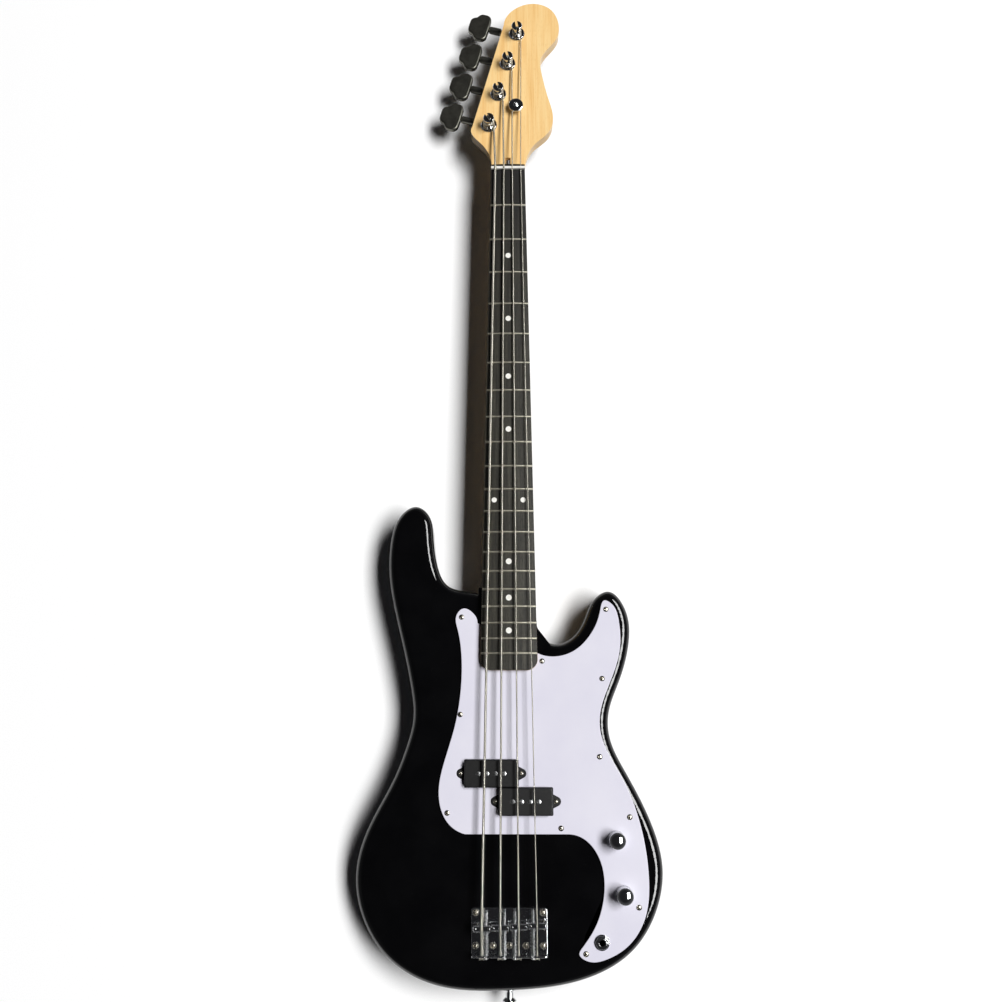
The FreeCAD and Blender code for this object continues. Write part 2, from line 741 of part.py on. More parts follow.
def make_neck():
    def profile(y, depth):
        half = neck_half(y)
        left, right = V(-half, y, z_board), V(half, y, z_board)
        back = Part.Arc(right, V(0, y, z_board - depth), left).toShape()
        return Part.Wire([Part.makeLine(left, right), back])

    ends = [profile(y_heel_front, shaft_depth_heel), profile(y_board_top, shaft_depth_nut)]
    shaft = Part.makeLoft(ends, True)
    y_ramp = y_heel_front + heel_ramp
    heel = slab(neck_plan(y_ramp), z_pocket, z_board)
    ramp = ((y_heel_front, z_pocket - 1), (y_heel_front, z_pocket), (y_ramp, z_board - 5),
            (y_ramp + 1, z_board - 5), (y_ramp + 1, z_pocket - 1))
    heel = heel.cut(side_prism(ramp, heel_width))
    half = neck_half(y_board_top)
    base_y = y_nut + nut_thickness
    bass = [(-half, base_y)] + [(x, y_nut + y) for x, y in head_bass_edge]
    slope = math.radians(head_angle)
    corner = bass[-1]
    tip = (corner[0] + tuner_edge_length * math.sin(slope), corner[1] + tuner_edge_length * math.cos(slope))
    treble = [tip] + [(x, y_nut + y) for x, y in head_treble_edge] + [(half, base_y)]
    sides = [spline(bass), line(corner, tip), spline(treble), line(treble[-1], bass[0])]
    head = slab(Part.Wire(sides), z_head_back, z_face)
    under = ((base_y - 1, z_head_back - 1), (base_y - 1, z_board - 0.6 * shaft_depth_nut),
             (base_y, z_board - 0.6 * shaft_depth_nut), (base_y + 42, z_head_back),
             (base_y + 42, z_head_back - 1))
    head = head.cut(side_prism(under, heel_width))
    step = z_board - z_face
    reach = math.sqrt(head_scoop ** 2 - (head_scoop - step) ** 2)
    ledge = box(-half, half, y_board_top - 1, y_board_top + reach, z_face - 1, z_board)
    bowl = V(-half - 1, y_board_top + reach, z_face + head_scoop)
    ledge = ledge.cut(Part.makeCylinder(head_scoop, 2 * half + 2, bowl, V(1, 0, 0)))
    neck = shaft.fuse([heel, head, ledge]).removeSplitter()
    slot = rod_radius + fit_gap
    y_slot = y_board_top + rod_slot_length
    cuts = [box(-slot, slot, y_board_end + 20, y_board_top, z_rod - slot, z_board)]
    wide = rod_nut_radius + fit_gap
    cuts.append(box(-wide, wide, y_board_top - 1, y_slot, z_rod - wide, z_board))
    for seat, radius, length in plate_screws:
        cuts.append(pilot(seat, radius, length, down))
    for n in range(len(string_names)):
        place = post_centre(n)
        cuts.append(rod(place.x, place.y, z_head_back - 1, z_face + 1, bush_radius + screw_gap))
    for seat, _, _, radius, length, axis in tuner_screws:
        cuts.append(pilot(seat, radius, length, axis))
    seat = V(tree_place[0], y_nut + tree_place[1], z_face)
    cuts.append(pilot(seat, *tree_screw[2:]))
    return neck.cut(Part.makeCompound(cuts))


def board_slot(y, width, low, high, half):
    return cambered(section(((y - width / 2, low), (y + width / 2, low), (y + width / 2, high),
                             (y - width / 2, high))), half)


def make_board():
    board = round_board(slab(neck_plan(y_board_top), z_board, z_board_top + 1))
    cuts = [box(-heel_width, heel_width, y_nut, y_nut + nut_thickness, z_nut_string - nut_depth - 1.5,
                z_board_top + 1)]
    for n in range(1, fret_count + 1):
        y = fret_y(n)
        wide = tang_width + 2 * screw_gap
        low = z_board_top - tang_depth - screw_gap
        cuts.append(board_slot(y, wide, low, z_board_top + 1, neck_half(y) - 0.8))
    for x, y in dot_places():
        cuts.append(rod(x, y, z_board_top - dot_depth - 0.5, z_board_top + 1, dot_radius + screw_gap))
    for mark in side_dot_rods(screw_gap):
        cuts.append(mark)
    return board.cut(Part.makeCompound(cuts))


def dot_places():
    places = []
    for n in dot_frets:
        y = (fret_y(n) + fret_y(n - 1)) / 2
        offsets = (-double_dot_reach, double_dot_reach) if n == double_dot_fret else (0,)
        places += [(x, y) for x in offsets]
    return places


def side_dot_rods(grow=0.0):
    rods = []
    level = z_board + board_thickness * 0.32
    for n in dot_frets:
        y = (fret_y(n) + fret_y(n - 1)) / 2
        offsets = (-3.5, 3.5) if n == double_dot_fret else (0,)
        for shift in offsets:
            start = V(-neck_half(y + shift) + 0.1, y + shift, level)
            rods.append(Part.makeCylinder(side_dot_radius + grow, 2.0 + grow, start, V(1, 0, 0)))
    return rods


def make_fret(n):
    y, half = fret_y(n), neck_half(fret_y(n)) - 0.4
    left, right = V(0, y - fret_width / 2, z_board_top), V(0, y + fret_width / 2, z_board_top)
    crown = Part.Arc(left, V(0, y, z_board_top + fret_height), right).toShape()
    face = Part.Face(Part.Wire([crown, Part.makeLine(right, left)]))
    tang = board_slot(y, tang_width, z_board_top - tang_depth, z_board_top + 0.2, half - 0.6)
    return cambered(face, half).fuse(tang)


def make_dots():
    dots = []
    for x, y in dot_places():
        dots.append(round_board(rod(x, y, z_board_top - dot_depth - 0.45, z_board_top + 1, dot_radius)))
    return dots + side_dot_rods()


def make_nut():
    half = nut_width / 2
    low, high = z_nut_string - nut_depth - 1.5, z_board_top + nut_rise
    nut = box(-half, half, y_nut + screw_gap, y_nut + nut_thickness - screw_gap, low, high)
    rear = [e for e in nut.Edges if e.BoundBox.ZMin > high - 1e-6 and e.BoundBox.YLength < 1e-6]
    nut = nut.makeFillet(min(1.2, nut_thickness / 3), rear)
    for run in runs:
        nut = nut.cut(run.free_run(string_gap))
    return nut


def make_rod():
    y_far = y_board_top + 1.0
    shaft = Part.makeCylinder(rod_radius, y_far - y_board_end - 24, V(0, y_board_end + 24, z_rod), V(0, 1, 0))
    slot = rod_radius + fit_gap - screw_gap
    anchor = box(-slot, slot, y_board_end + 20.1, y_board_end + 26, z_rod - slot, z_rod + slot)
    end = Part.makeCylinder(rod_radius * 0.6, rod_nut_length * 0.7, V(0, y_far - 0.5, z_rod), V(0, 1, 0))
    return shaft.fuse([anchor, end])


def make_rod_nut():
    y_start = y_board_top + 1.0 + screw_gap
    nut = Part.makeCylinder(rod_nut_radius, rod_nut_length, V(0, y_start, z_rod), V(0, 1, 0))
    bore = rod_radius * 0.6 + shaft_gap
    nut = nut.cut(Part.makeCylinder(bore, rod_nut_length * 0.75, V(0, y_start, z_rod), V(0, 1, 0)))
    socket = slab(rounded([(rod_nut_radius * 0.62 * math.cos(math.pi / 3 * n),
                            rod_nut_radius * 0.62 * math.sin(math.pi / 3 * n)) for n in range(6)],
                          [0] * 6), 0, rod_nut_length * 0.21)
    socket.rotate(V(0, 0, 0), V(1, 0, 0), -90)
    socket.translate(V(0, y_start + rod_nut_length * 0.8, z_rod))
    return nut.cut(socket)


def make_guard():
    gap = [line(guard_treble_edge[-1], guard_bass_edge[0])]
    sides = [spline(guard_bass_edge), line(guard_bass_edge[-1], guard_treble_edge[0]),
             spline(guard_treble_edge)]
    guard = slab(Part.Wire(sides + gap), z_top, z_guard)
    cuts = [slab(neck_plan(y_heel_front, fit_gap), z_top - 1, z_guard + 1)]
    for n in range(len(pickup_places)):
        cuts.append(pickup_prism(n, z_top - 1, z_guard + 1, 0.5))
    for seat, _, _, radius, length in guard_screws:
        cuts.append(pilot(seat, radius, length))
    for place in (volume_place, tone_place):
        cuts.append(rod(place[0], place[1], z_top - 1, z_guard + 1, pot_bush_radius + screw_gap))
    cuts.append(rod(jack_place[0], jack_place[1], z_top - 1, z_guard + 1, jack_bush_radius + screw_gap))
    return guard.cut(Part.makeCompound(cuts))


def make_cover(n):
    x, y = pickup_places[n]
    low, high = z_cover - ear_thickness, z_cover - ear_thickness + cover_height
    cover = pickup_prism(n, low, z_cover)
    half_l, half_w = cover_length / 2, cover_width / 2
    radii = [1.0, cover_chamfer, cover_chamfer, 1.0]
    if n == 0:
        radii = radii[2:] + radii[:2]
    shell = slab(rounded(oblong(x, y, half_l, half_w), radii), low, high)
    lid = [e for e in shell.Edges if e.BoundBox.ZMin > high - 1e-6]
    shell = shell.makeChamfer(0.8, lid)
    cover = cover.fuse(shell).removeSplitter()
    inner = box(x - half_l + cover_wall, x + half_l - cover_wall, y - half_w + cover_wall,
                y + half_w - cover_wall, low - 1, high - cover_wall)
    corner = [e for e in inner.Edges if is_upright(e)]
    cuts = [inner.makeFillet(cover_chamfer, corner)]
    for pole in pole_places(n):
        cuts.append(rod(pole[0], pole[1], low, high + 1, pole_radius + screw_gap))
    for side in (-1, 1):
        cuts.append(rod(x + side * ear_screw_reach, y, low - 1, z_cover + 1, pickup_screw[2] + screw_gap))
    return cover.cut(Part.makeCompound(cuts))


def pole_places(n):
    x, y = pickup_places[n]
    return [(x + (k - 1.5) * pole_pitch, y) for k in range(4)]


def make_coil(n):
    x, y = pickup_places[n]
    high = z_cover - ear_thickness + cover_height - cover_wall
    half_l, half_w = coil_length / 2, coil_width / 2
    plan = rounded(oblong(x, y, half_l, half_w), [half_w - 0.5] * 4)
    coil = slab(plan, high - coil_height, high)
    for pole in pole_places(n):
        coil = coil.cut(rod(pole[0], pole[1], high - coil_height, high, pole_radius + screw_gap))
    return coil


def make_poles():
    high = z_cover - ear_thickness + cover_height + pole_rise
    low = high - pole_rise - cover_wall - coil_height - 1.0
    return [rod(x, y, low, high, pole_radius) for n in (0, 1) for x, y in pole_places(n)]


def make_pot(place):
    x, y = place
    can = rod(x, y, z_top - pot_height, z_top, pot_radius)
    can = can.fuse(rod(x, y, z_top - 1, z_top + pot_bush_height, pot_bush_radius)).removeSplitter()
    tab = pot_radius + lug_length
    lugs = []
    for k in (-1, 0, 1):
        lug_x = x + k * lug_pitch
        lugs.append(box(lug_x - 1, lug_x + 1, y - tab, y - pot_radius + 1, z_top - 2.2, z_top - 1.4))
    bore = rod(x, y, z_top - pot_height + 1.5, z_top + pot_bush_height + 1, pot_shaft_radius + shaft_gap)
    return can.fuse(lugs).cut(bore)


def make_knob(place):
    x, y = place
    base = V(x, y, z_guard + knob_lift)
    r, h = knob_radius, knob_height
    edges = [Part.makeLine(V(0, 0, 0), V(r, 0, 0)), Part.makeLine(V(r, 0, 0), V(r * 0.95, 0, h * 0.78))]
    edges.append(Part.Arc(V(r * 0.95, 0, h * 0.78), V(r * 0.76, 0, h * 0.93), V(r * 0.35, 0, h)).toShape())
    edges.append(Part.makeLine(V(r * 0.35, 0, h), V(0, 0, h)))
    edges.append(Part.makeLine(V(0, 0, h), V(0, 0, 0)))
    knob = Part.Face(Part.Wire(edges)).revolve(V(0, 0, 0), V(0, 0, 1), 360)
    knob = knob.cut(rod(0, 0, -1, pot_bush_height - guard_thickness + 1.0, r * 0.8))
    knob = knob.cut(rod(0, 0, -1, h * 0.7, pot_shaft_radius + screw_gap))
    knob.translate(base)
    shaft = rod(x, y, z_top - pot_height + 2.0, z_guard + knob_lift + h * 0.69, pot_shaft_radius)
    return knob, shaft


def make_jack():
    x, y = jack_place
    high = z_guard + control_nut_height + 1.2
    jack = rod(x, y, z_top - 12, high, jack_bush_radius)
    jack = jack.fuse(rod(x, y, z_top - 1.5, z_top, jack_flange_radius))
    reach = jack_flange_radius - 1.5
    leaf = box(x - 2.5, x + 2.5, y + reach - 0.8, y + reach, z_top - 24, z_top - 1)
    tip = box(x - 2.5, x + 2.5, y + jack_bore_radius + 0.6, y + reach, z_top - 24, z_top - 23)
    jack = jack.fuse([leaf, tip]).removeSplitter()
    return jack.cut(rod(x, y, z_top - 30, high + 1, jack_bore_radius))


def make_control_nuts():
    nuts = []
    for x, y in (volume_place, tone_place):
        nuts.append(hexagon(x, y, z_guard, z_guard + control_nut_height, pot_nut_flats,
                            pot_bush_radius + screw_gap))
    x, y = jack_place
    washer = rod(x, y, z_guard, z_guard + 0.6, jack_nut_flats * 0.62)
    nut = hexagon(x, y, z_guard + 0.6, z_guard + 0.6 + control_nut_height, jack_nut_flats, 1.0)
    nuts.append(washer.fuse(nut).cut(rod(x, y, z_guard, z_guard + 4, jack_bush_radius + screw_gap)))
    return nuts


def make_capacitor():
    x, y = tone_place
    top = z_top - pot_height
    return turned(((0, 0), (cap_radius - 1, 0), (cap_radius, 1), (cap_radius, 2.4), (cap_radius - 1, 3.4),
                   (0, 3.4)), V(x + 2, y - 2, top - 3.4))


def make_wiring():
    """Three runs: pickups to the volume control, volume to tone, and volume to the jack."""
    vx, vy = volume_place
    tx, ty = tone_place
    jx, jy = jack_place
    px, py = pickup_places[1]
    lug, level = pot_radius + lug_length + wire_radius + 3 * fit_gap, z_top - 1.8
    aside, low = pot_radius + 2.8, z_top - 10.0
    lead = [V(px + coil_length / 2 + wire_radius, py, z_top - 6), V(*feed_at(0.42), low),
            V(*feed_at(0.84), low), V(vx - aside + 1.5, vy - 9, low), V(vx - lug_pitch, vy - lug, level)]
    link = [V(vx, vy - lug, level), V(vx + 1, vy - lug - 8, low), V(tx + aside, ty + 9, low),
            V(tx + aside - 1, ty - 9, low), V(tx + lug_pitch, ty - lug, level)]
    out = [V(tx - lug_pitch, ty - lug, level), V(tx - 8, ty - lug - 7, low), V(jx + 8, jy + 16, low),
           V(jx, jy + jack_flange_radius - 1.5 + wire_radius, z_top - 12)]
    return [tube(bent(points, 3.0), wire_radius, 8) for points in (lead, link, out)]


def make_bridge():
    half = bridge_width / 2
    points = ((-half, y_bridge_rear), (half, y_bridge_rear), (half, y_bridge_front), (-half, y_bridge_front))
    base = slab(rounded(points, (0, 0, bridge_corner_radius, bridge_corner_radius)), z_top, z_bridge)
    rim = [e for e in base.Edges if e.BoundBox.ZMin > z_bridge - 1e-6 and e.BoundBox.YMax > y_wall]
    base = base.makeFillet(bridge_edge, rim)
    wall = box(-half, half, y_bridge_rear, y_wall, z_top, z_top + bridge_wall_height)
    ends = [e for e in wall.Edges if e.BoundBox.ZMin > z_bridge and e.BoundBox.XLength < 1e-6]
    wall = wall.makeFillet(bridge_corner_radius, [e for e in ends if e.BoundBox.YLength > 1e-6])
    level = z_top + bridge_wall_height - 1e-6
    crest = [e for e in wall.Edges if e.BoundBox.ZMin > level and e.BoundBox.YLength < 1e-6]
    bridge = base.fuse(wall.makeFillet(bridge_edge, crest)).removeSplitter()
    cuts = [pilot(seat, radius, length) for seat, _, _, radius, length in bridge_screws]
    for n, run in enumerate(runs):
        cuts.append(run.free_run(fit_gap))
        start = V(intonation_x(n), y_bridge_rear - 1, z_saddle)
        cuts.append(Part.makeCylinder(intonation_radius + shaft_gap, bridge_wall + 2, start, V(0, 1, 0)))
    for cut in cuts:
        bridge = bridge.cut(cut)
    return bridge


def intonation_x(n):
    side = 1 if n < 2 else -1
    return runs[n].bridge_x + side * intonation_side


def height_screw_x(n):
    return [runs[n].bridge_x + s * height_screw_reach for s in (-1, 1)]


def make_saddle(n):
    run = runs[n]
    start = V(run.bridge_x - saddle_length / 2, run.saddle_y, z_saddle)
    barrel = Part.makeCylinder(saddle_radius, saddle_length, start, V(1, 0, 0))
    barrel = barrel.makeChamfer(0.6, [e for e in barrel.Edges if e.Closed])
    bore = Part.makeCylinder(intonation_radius + shaft_gap, 4 * saddle_radius,
                             V(intonation_x(n), run.saddle_y - 2 * saddle_radius, z_saddle), V(0, 1, 0))
    barrel = barrel.cut(bore).cut(run.free_run(string_gap))
    pieces = []
    for x in height_screw_x(n):
        low, high = z_bridge + screw_gap, z_saddle + saddle_radius + 0.6
        pieces.append(rod(x, run.saddle_y, low, high, height_screw_radius))
        barrel = barrel.cut(rod(x, run.saddle_y, low, high + 1, height_screw_radius + screw_gap))
    return [barrel] + pieces


def make_intonation_screw(n):
    run = runs[n]
    length = run.saddle_y + saddle_radius + intonation_tip - y_bridge_rear
    seat = V(intonation_x(n), y_bridge_rear - screw_gap, z_saddle)
    return screw(seat, *intonation_head, intonation_radius, length, V(0, -1, 0))


def make_spring(n):
    """A compression spring round the intonation screw, from the bridge's wall to the saddle."""
    run = runs[n]
    radius = intonation_radius + fit_gap + spring_wire
    low, high = y_wall + spring_wire + 0.2, run.saddle_y - saddle_radius - spring_wire - 0.2
    pitch = (high - low) / spring_turns
    path = Part.Wire(helix(V(0, 0, 0), radius, pitch, spring_turns, 0))
    print("spring", n, "least gap", round(least_gap(path, spring_wire, 2 * math.pi * radius), 2))
    spring = tube(path, spring_wire, 6)
    spring.rotate(V(0, 0, 0), V(1, 0, 0), -90)
    spring.translate(V(intonation_x(n), low, z_saddle))
    return spring


def make_tuner_plate():
    """Base plate on the head's back with two bent ears that carry the worm."""
    high = z_head_back
    low = high - tuner_plate
    plate = slab(rounded(tuner_plate_corners, [4.0] * 4), low, high)
    centre = z_worm
    for side in (-1, 1):
        x0 = ear_gap if side > 0 else -ear_gap - ear_plate
        y0, y1 = worm_offset - ear_reach, worm_offset + ear_reach
        ear = box(x0, x0 + ear_plate, y0, y1, centre - ear_reach, high)
        round_edges = [e for e in ear.Edges if e.BoundBox.ZMax < centre and e.BoundBox.XLength > 1e-6]
        plate = plate.fuse(ear.makeFillet(ear_reach * 0.6, round_edges))
    plate = plate.removeSplitter()
    cuts = [rod(0, 0, low - 1, high + 1, post_radius + shaft_gap)]
    axle = V(-2 * ear_gap, worm_offset, centre)
    cuts.append(Part.makeCylinder(key_shaft_radius + shaft_gap, 4 * ear_gap, axle, V(1, 0, 0)))
    for x, y in tuner_screw_places:
        cuts.append(rod(x, y, low - 1, high + 1, tuner_screw[2] + screw_gap))
    return plate.cut(Part.makeCompound(cuts))


def make_gear():
    """Twenty straight teeth and a hub up to the plate, with a tooth gap facing the worm, and its screw."""
    step = 2 * math.pi / gear_teeth
    outline = []
    for n in range(gear_teeth):
        middle = math.pi / 2 + step * (n + 0.5)
        for radius, share in ((gear_root, -0.23), (gear_tip, -0.13), (gear_tip, 0.13), (gear_root, 0.23)):
            a = middle + share * step
            outline.append(V(radius * math.cos(a), radius * math.sin(a), z_gear))
    gear = Part.Face(Part.makePolygon(outline + outline[:1])).extrude(V(0, 0, gear_thickness))
    gear = gear.fuse(rod(0, 0, z_gear_top, z_tuner - fit_gap, post_radius + 1.5))
    gear = gear.cut(rod(0, 0, z_gear - 1, z_tuner, gear_seat_radius + screw_gap))
    seat = V(0, 0, z_gear - screw_gap)
    return gear, screw(seat, *gear_screw, down)


def make_post(n):
    top, low = z_face + post_height, z_gear
    shoulder = z_tuner - fit_gap + screw_gap
    collar = z_face + bush_flange
    under_cap, brow = top - post_cap, 0.3 * post_cap
    profile = (
        (0, low), (gear_seat_radius, low), (gear_seat_radius, shoulder), (post_radius, shoulder),
        (post_radius, collar - 0.4), (post_waist, collar + 0.2), (post_waist, under_cap - 1.4),
        (post_cap_radius, under_cap), (post_cap_radius, top - brow), (post_cap_radius - brow, top), (0, top),
    )
    post = turned(profile)
    angle = math.degrees(runs[n].slot_angle) + head_angle
    reach, half = post_cap_radius + 1, slot_width / 2
    slot = box(-reach, reach, -half, half, top - slot_depth, top + 1)
    slot.rotate(V(0, 0, 0), V(0, 0, 1), angle)
    post = post.cut(slot).cut(rod(0, 0, low - 1, low + gear_screw[3] + 1, gear_screw[2] + screw_gap))
    post = at_post(post, n)
    return post.cut(tube(winding_paths[n], runs[n].radius + string_gap, 8))


def make_key():
    """Worm, shaft and clover leaf in one piece, along the worm's axis."""
    inner = ear_gap - 0.2
    outer = ear_gap + ear_plate + 0.3
    bell, end = key_start - key_bell_length, key_start + 4
    flare = key_bell_radius - key_stem_radius
    profile = (
        (0, -outer - 0.6), (key_shaft_radius, -outer - 0.6), (key_shaft_radius, -inner), (worm_core, -inner),
        (worm_core, inner), (key_shaft_radius, inner), (key_shaft_radius, outer), (key_collar_radius, outer),
        (key_collar_radius, outer + 1.6), (key_stem_radius, outer + 2.6), (key_stem_radius, bell),
        (key_bell_radius, bell + flare), (key_bell_radius, key_start - flare), (key_stem_radius, key_start),
        (key_stem_radius, end), (0, end),
    )
    shaft = turned(profile)
    lead = math.pi * gear_module
    low, high = worm_core - 0.3, worm_crest
    length = lead * worm_turns
    path = Part.Wire(helix(V(0, 0, -length / 2), low, lead, worm_turns, math.pi * (1.5 - worm_turns)))
    first = path.OrderedEdges[0]
    start = first.valueAt(first.FirstParameter)
    out = V(start.x, start.y, 0).normalize()
    tooth = [start - V(0, 0, 0.62), start + out * (high - low) - V(0, 0, 0.34),
             start + out * (high - low) + V(0, 0, 0.34), start + V(0, 0, 0.62)]
    thread = path.makePipeShell([Part.makePolygon(tooth + tooth[:1])], True, False)
    worm = shaft.fuse(thread)
    worm.rotate(V(0, 0, 0), V(0, 1, 0), -90)
    upper = [(-key_start - along, half) for along, half, _ in key_leaf]
    lower = [(along, -half) for along, half in reversed(upper)]
    radii = [radius for _, _, radius in key_leaf]
    leaf = slab(rounded(upper + lower, radii + radii[::-1]), -key_thickness / 2, key_thickness / 2)
    edges = [e for e in leaf.Edges if not is_upright(e)]
    key = worm.fuse(leaf.makeFillet(key_round, edges))
    key.translate(V(0, worm_offset, z_worm))
    return key


def make_bush(n):
    place = post_centre(n)
    bore = post_radius + shaft_gap
    low, high = z_face - bush_length, z_face + bush_flange
    profile = (
        (bore, low), (bush_radius, low), (bush_radius, z_face), (bush_flange_radius, z_face),
        (bush_flange_radius, z_face + bush_flange * 0.5), (bush_flange_radius - 1, high), (bore, high),
    )
    return turned(profile, place)


def make_tree():
    """Round string retainer: a stem on the head with a flange over the two thin strings."""
    place = V(tree_place[0], y_nut + tree_place[1], z_face)
    head_radius, head_height, radius, bite = tree_screw
    bore, top = radius + screw_gap, tree_height + tree_flange
    profile = (
        (bore, 0), (tree_stem + 1, 0), (tree_stem, 1.2), (tree_stem, tree_height), (tree_radius, tree_height),
        (tree_radius, tree_height + tree_flange * 0.6), (tree_radius - 1, top), (bore, top),
    )
    seat = place + V(0, 0, top)
    return turned(profile, place), screw(seat, head_radius, head_height, radius, top + bite)


def make_strap_button():
    r, w, h, shank = button_radius, button_waist, button_height, button_screw_radius
    bore, end = shank + screw_gap, -button_screw_length
    profile = ((bore, 0), (r - 0.5, 0), (r - 0.5, 1.4), (w, 3.6), (w, h - 4.8), (r, h - 2.2), (r, h - 0.8),
               (r - 0.9, h), (shank + 2.4, h), (bore, h - 2.2))
    base = tail_place() + tail_axis * fit_gap
    head = ((0, h + 0.4), (shank + 0.6, h + 0.2), (shank + 2.2, h), (shank, h - 2.15),
            (shank, end + 2 * shank), (0, end))
    return turned(profile, base, tail_axis), turned(head, base, tail_axis)


def make_plate_screw(seat, radius, length):
    head = plate_screw_head
    profile = ((0, 0.05), (head, 0.05), (radius, 0.05 + head - radius), (radius, length - 4), (0, length))
    return turned(profile, seat)


def make_neck_plate():
    plan = rounded(oblong(0, 0, plate_width / 2, plate_length / 2), [plate_corner] * 4)
    plate = slab(plan, 0, plate_thickness)
    for seat, radius, _ in plate_screws:
        sink, hole = plate_screw_head + screw_gap, radius + screw_gap
        cone_depth = sink - radius
        past = cone_depth + plate_thickness
        cone = ((0, 0), (sink, 0), (hole, cone_depth), (hole, past), (0, past))
        plate = plate.cut(turned(cone, seat))
    return plate


os.makedirs("parts", exist_ok=True)

save("body", make_body())
save("neck_plate", make_neck_plate())
save("neck_plate_screws", *[make_plate_screw(*size) for size in plate_screws])
save("neck", make_neck())
save("fingerboard", make_board())
save("frets", *[make_fret(n) for n in range(1, fret_count + 1)])
save("position_dots", *make_dots())
save("nut", make_nut())
save("truss_rod", make_rod())
save("truss_rod_nut", make_rod_nut())
save("pickguard", make_guard())
save("pickguard_screws", *[screw(*size) for size in guard_screws])
for n, side in enumerate(("bass", "treble")):
    save("pickup_cover_" + side, make_cover(n))
save("pickup_coils", *[make_coil(n) for n in (0, 1)])
save("pickup_poles", *make_poles())
save("pickup_screws", *[screw(*size) for size in pickup_screws])
save("control_pots", *[make_pot(place) for place in (volume_place, tone_place)])
save("control_nuts", *make_control_nuts())
save("volume_knob", *make_knob(volume_place))
save("tone_knob", *make_knob(tone_place))
save("tone_capacitor", make_capacitor())
save("output_jack", make_jack())
save("wiring", *make_wiring())
save("bridge_plate", make_bridge())
save("bridge_screws", *[screw(*size) for size in bridge_screws])
save("intonation_springs", *[make_spring(n) for n in range(len(runs))])
save("tuner_plates", *[at_post(make_tuner_plate(), n) for n in range(len(runs))])
save("tuner_bushings", *[make_bush(n) for n in range(len(runs))])
save("tuner_screws", *[screw(*size) for size in tuner_screws])
save("string_tree", *make_tree())
save("strap_button", *make_strap_button())
for n, (name, run) in enumerate(zip(string_names, runs)):
    turn_length = 2 * math.pi * run.coil_radius
    print("winding", name, "least gap", round(least_gap(winding_paths[n], run.radius, turn_length), 2))
    save("string_" + name, run.free_run(), run.ball())
    save("string_winding_" + name, tube(winding_paths[n], run.radius, 8))
    save("saddle_" + name, *make_saddle(n))
    save("intonation_screw_" + name, make_intonation_screw(n))
    save("tuner_post_" + name, make_post(n))
    save("tuner_gear_" + name, *[at_post(piece, n) for piece in make_gear()])
    save("tuner_key_" + name, at_post(make_key(), n))
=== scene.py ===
import json
import math

import bpy
import numpy as np
from mathutils import Matrix


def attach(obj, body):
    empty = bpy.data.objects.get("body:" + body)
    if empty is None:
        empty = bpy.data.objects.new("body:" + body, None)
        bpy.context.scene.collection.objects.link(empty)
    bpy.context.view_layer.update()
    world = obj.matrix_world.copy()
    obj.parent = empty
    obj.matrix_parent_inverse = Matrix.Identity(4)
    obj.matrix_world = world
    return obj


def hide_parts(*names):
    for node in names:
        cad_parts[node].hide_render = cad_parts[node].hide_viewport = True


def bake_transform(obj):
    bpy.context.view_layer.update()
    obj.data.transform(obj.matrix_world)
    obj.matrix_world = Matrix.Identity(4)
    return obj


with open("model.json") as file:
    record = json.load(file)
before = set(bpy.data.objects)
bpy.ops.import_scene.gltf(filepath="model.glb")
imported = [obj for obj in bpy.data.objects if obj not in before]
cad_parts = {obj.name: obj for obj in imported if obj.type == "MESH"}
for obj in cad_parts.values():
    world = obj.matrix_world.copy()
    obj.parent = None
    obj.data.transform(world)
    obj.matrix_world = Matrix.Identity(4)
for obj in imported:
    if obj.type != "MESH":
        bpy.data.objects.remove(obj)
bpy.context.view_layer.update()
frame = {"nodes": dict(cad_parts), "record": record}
nodes = frame["nodes"]
mm = 0.001
turn = 2 * math.pi
print("frame loaded:", len(nodes), "nodes")


# sRGB hex to linear light: a straight foot below 0.04, then the 2.4 power
def inkOf(hexText):
    parts = np.array([int(hexText[k:k + 2], 16) for k in (1, 3, 5)]) / 255
    linear = np.where(parts <= 0.04045, parts / 12.92, ((parts + 0.055) / 1.055) ** 2.4)
    return (*linear.tolist(), 1.0)


# one node with its settings; an input given as a socket is linked, any other is set
def addNode(tree, kind, inputs, **settings):
    node = tree.nodes.new(kind)
    for key, value in settings.items():
        setattr(node, key, value)
    for key, value in inputs.items():
        if isinstance(value, bpy.types.NodeSocket):
            tree.links.new(value, node.inputs[key])
        else:
            node.inputs[key].default_value = value
    return node


# a material with a Principled shader, and the point on the piece that its patterns read
def startMaterial(name):
    material = bpy.data.materials.new(name)
    material.use_nodes = True
    tree = material.node_tree
    tree.nodes.clear()
    shader = addNode(tree, "ShaderNodeBsdfPrincipled", {})
    addNode(tree, "ShaderNodeOutputMaterial", {"Surface": shader.outputs[0]})
    place = addNode(tree, "ShaderNodeTexCoord", {}).outputs["Object"]
    return material, tree, shader, place


# noise whose patches are as large as the three given lengths in mm
def patches(tree, place, across, along, deep, detail=2.0):
    scale = (1 / (across * mm), 1 / (along * mm), 1 / (deep * mm))
    stretched = addNode(tree, "ShaderNodeMapping", {"Vector": place, "Scale": scale}).outputs[0]
    noise = {"Vector": stretched, "Scale": 1.0, "Detail": detail}
    return addNode(tree, "ShaderNodeTexNoise", noise).outputs[0]


# colours along a value from 0 to 1, given as stops of place and hex
def shades(tree, value, *stops):
    ramp = addNode(tree, "ShaderNodeValToRGB", {"Fac": value})
    bar = ramp.color_ramp.elements
    while len(bar) < len(stops):
        bar.new(0.5)
    for spot, (where, hexText) in zip(bar, stops):
        spot.position = where
        spot.color = inkOf(hexText)
    return ramp.outputs[0]


